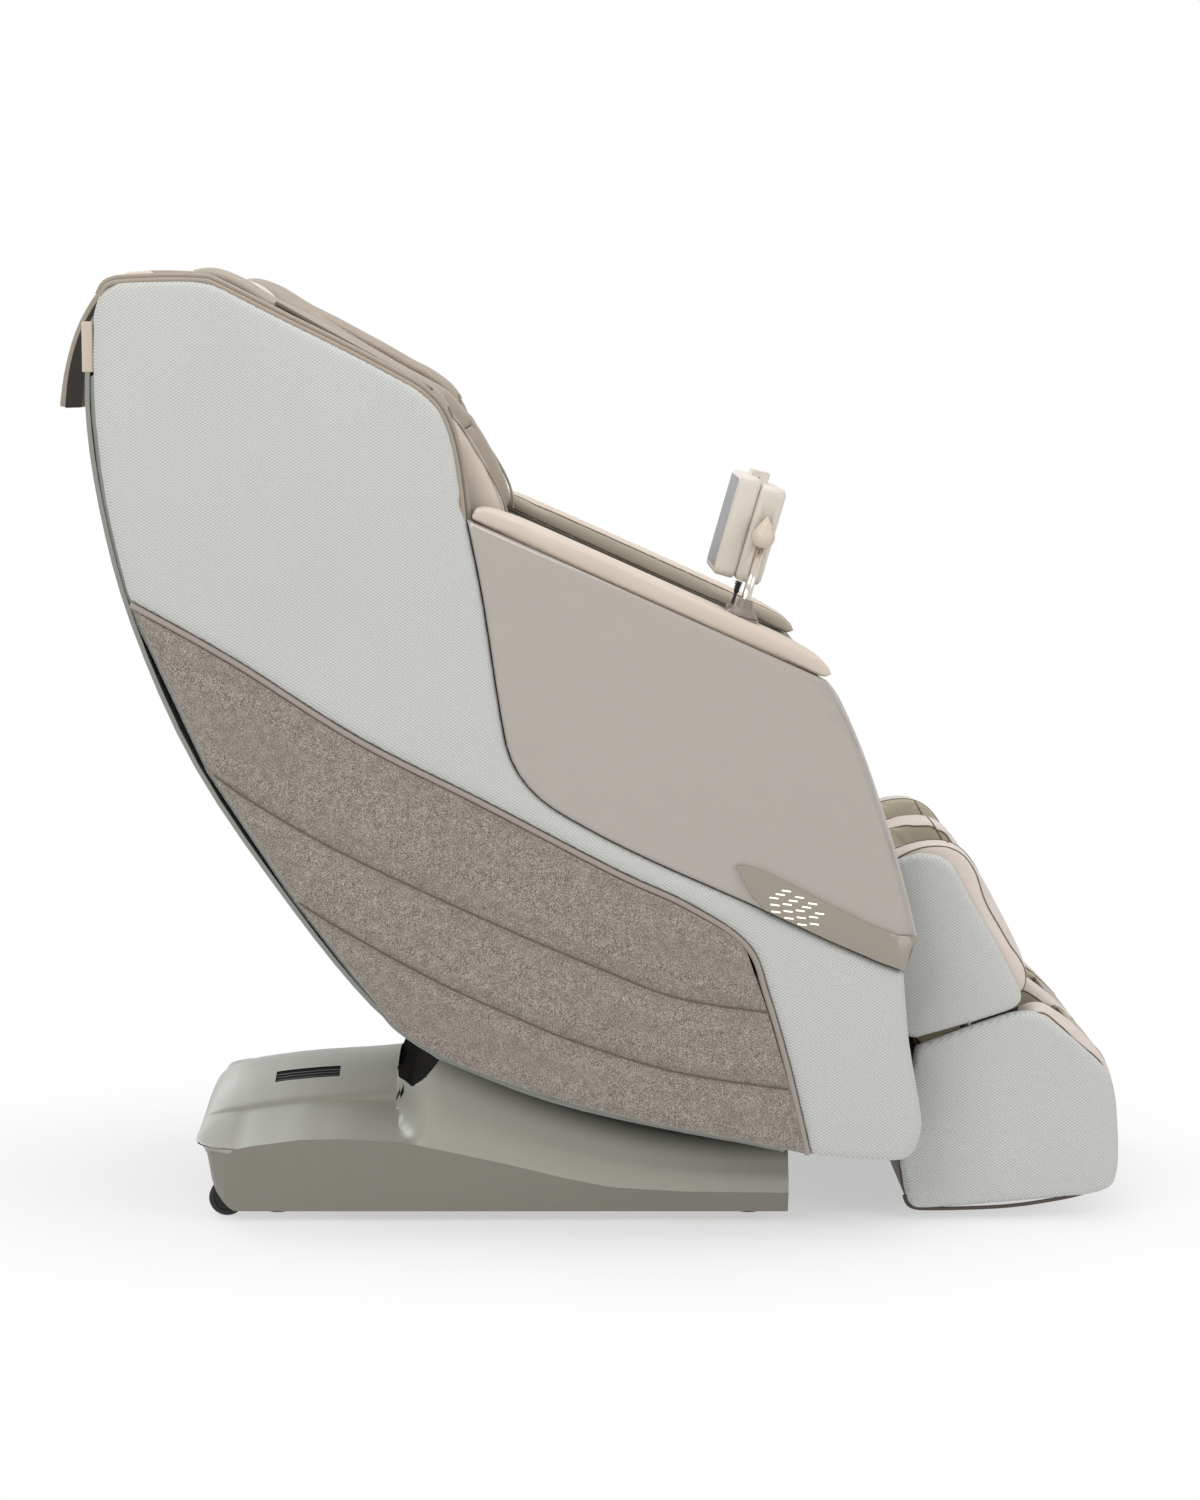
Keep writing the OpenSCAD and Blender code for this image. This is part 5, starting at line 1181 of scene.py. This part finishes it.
sole = padded_copy("foot_sole_cover", ["foot_sole"], 0.0025, 2)
dress(sole, dark_leather)
sole_edge = evenly(through([(427, 33), (435, 18), (463, 14), (560, 17), (628, 26), (676, 37),
                            (702, 52)], 6), 60)
sole_side = 0.2735
edges = [tube("sole_edge", [(x, y, z + 0.0008) for x, z in sole_edge], 0.0026, 10)
         for y in (-sole_side, sole_side)]
for edge in edges:
    dress(edge, dark_leather)
sole = joined("foot_sole_cover", [sole] + edges)
stated(sole, "foot_rest", "foot_sole")
dress(nodes["foot_frame"], ground_steel)
roller_taupe = finish_of("roller_taupe", colour("6b6459"), 0.5, grain=0.3)
dress(nodes["foot_roller_heel"], roller_taupe)
dress(nodes["foot_roller_arch"], roller_taupe)

# ---- Tablet ----
# A control tablet in a cream two-part housing tilts on a teardrop knuckle, at the top of a plated
# post that turns in a mount on the right arm. A short black cable runs down to the post's foot.
cream_plastic = finish_of("cream_plastic", colour("cdc6ba"), 0.4, grain=0.12)
knuckle_beige = finish_of("knuckle_beige", colour("cdbfae"), 0.38, grain=0.1)
mount_mocha = finish_of("mount_mocha", colour("7d7268"), 0.4, grain=0.15)
plated = finish_of("plated_champagne", colour("cfc6bb"), 0.12, metal=1, mottle=0.01)
dark_glass = finish_of("dark_glass", colour("101317"), 0.3, mottle=0.0)
dress(nodes["tablet_screen"], dark_glass)
mount = copied("tablet_mount_foot", "tablet_mount")
smoothed(mount, 65)
dress(mount, mount_mocha)
stated(mount, "capsule", "tablet_mount")
post = copied("tablet_post_parts", "tablet_post")
smoothed(post, 65)
lean, tilt = math.radians(15), math.radians(16)
post_up = Vector((math.sin(lean), 0, math.cos(lean)))
post_out = Vector((math.cos(lean), 0, -math.sin(lean)))
tablet_up = Vector((math.sin(tilt), 0, math.cos(tilt)))
tablet_out = Vector((math.cos(tilt), 0, -math.sin(tilt)))
arm_along = Vector((0.476, 0, -0.213)).normalized()
arm_up = Vector((0.213, 0, 0.476)).normalized()
foot_at = Vector((-0.171, 0, 0.970)) + arm_along * 0.386 + arm_up * 0.027
collar_top, knuckle_low, knuckle_at = 0.0262, 0.0955, 0.112


def post_colour(c, n):
    """The mount's collar at the foot, the knuckle at the head, and the plated tube between."""
    up = (c - foot_at).dot(post_up)
    return 1 if up < collar_top else 2 if up > knuckle_low else 0


painted(post, [plated, mount_mocha, knuckle_beige], post_colour)
stated(post, "tablet_swivel", "tablet_post")

cable_side = Vector((0, -0.322, 0))
cable_top = foot_at + post_up * knuckle_at + tablet_out * -0.012 + tablet_up * -0.0842
cable_low = foot_at + post_out * -0.014 + post_up * 0.0144
path = [cable_top, cable_top - tablet_up * 0.005, cable_low + post_up * 0.005, cable_low]
path = through([(p.x * 1000, p.z * 1000) for p in path], 6)
inside_relief = cable_top + tablet_up * 0.0182
route = [tuple(inside_relief.lerp(cable_top, k / 5) + cable_side) for k in range(5)]
route += [(x, cable_side.y, z) for x, z in path]
black_cable = finish_of("black_cable", colour("191919"), 0.5, grain=0.2)


def in_relief(c, n):
    """Whether a face of the housing is on the rubber sleeve round the cable's end."""
    away = c - cable_top - cable_side
    along = away.dot(tablet_up)
    return 1 if -0.004 < along < 0.017 and (away - tablet_up * along).length < 0.0062 else 0


for name, node in (("tablet_front_housing", "tablet_case"), ("tablet_rear_housing", "tablet_dock")):
    made = copied(name, node)
    smoothed(made, 35)
    painted(made, [cream_plastic, black_cable], in_relief)
    stated(made, "tablet", node)
cable = tube("tablet_cable_run", route, 0.0022, 14)
dress(cable, black_cable)
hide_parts("tablet_cable")
run = float(np.linalg.norm(np.diff(np.array(route), axis=0), axis=1).sum())
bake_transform(cable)
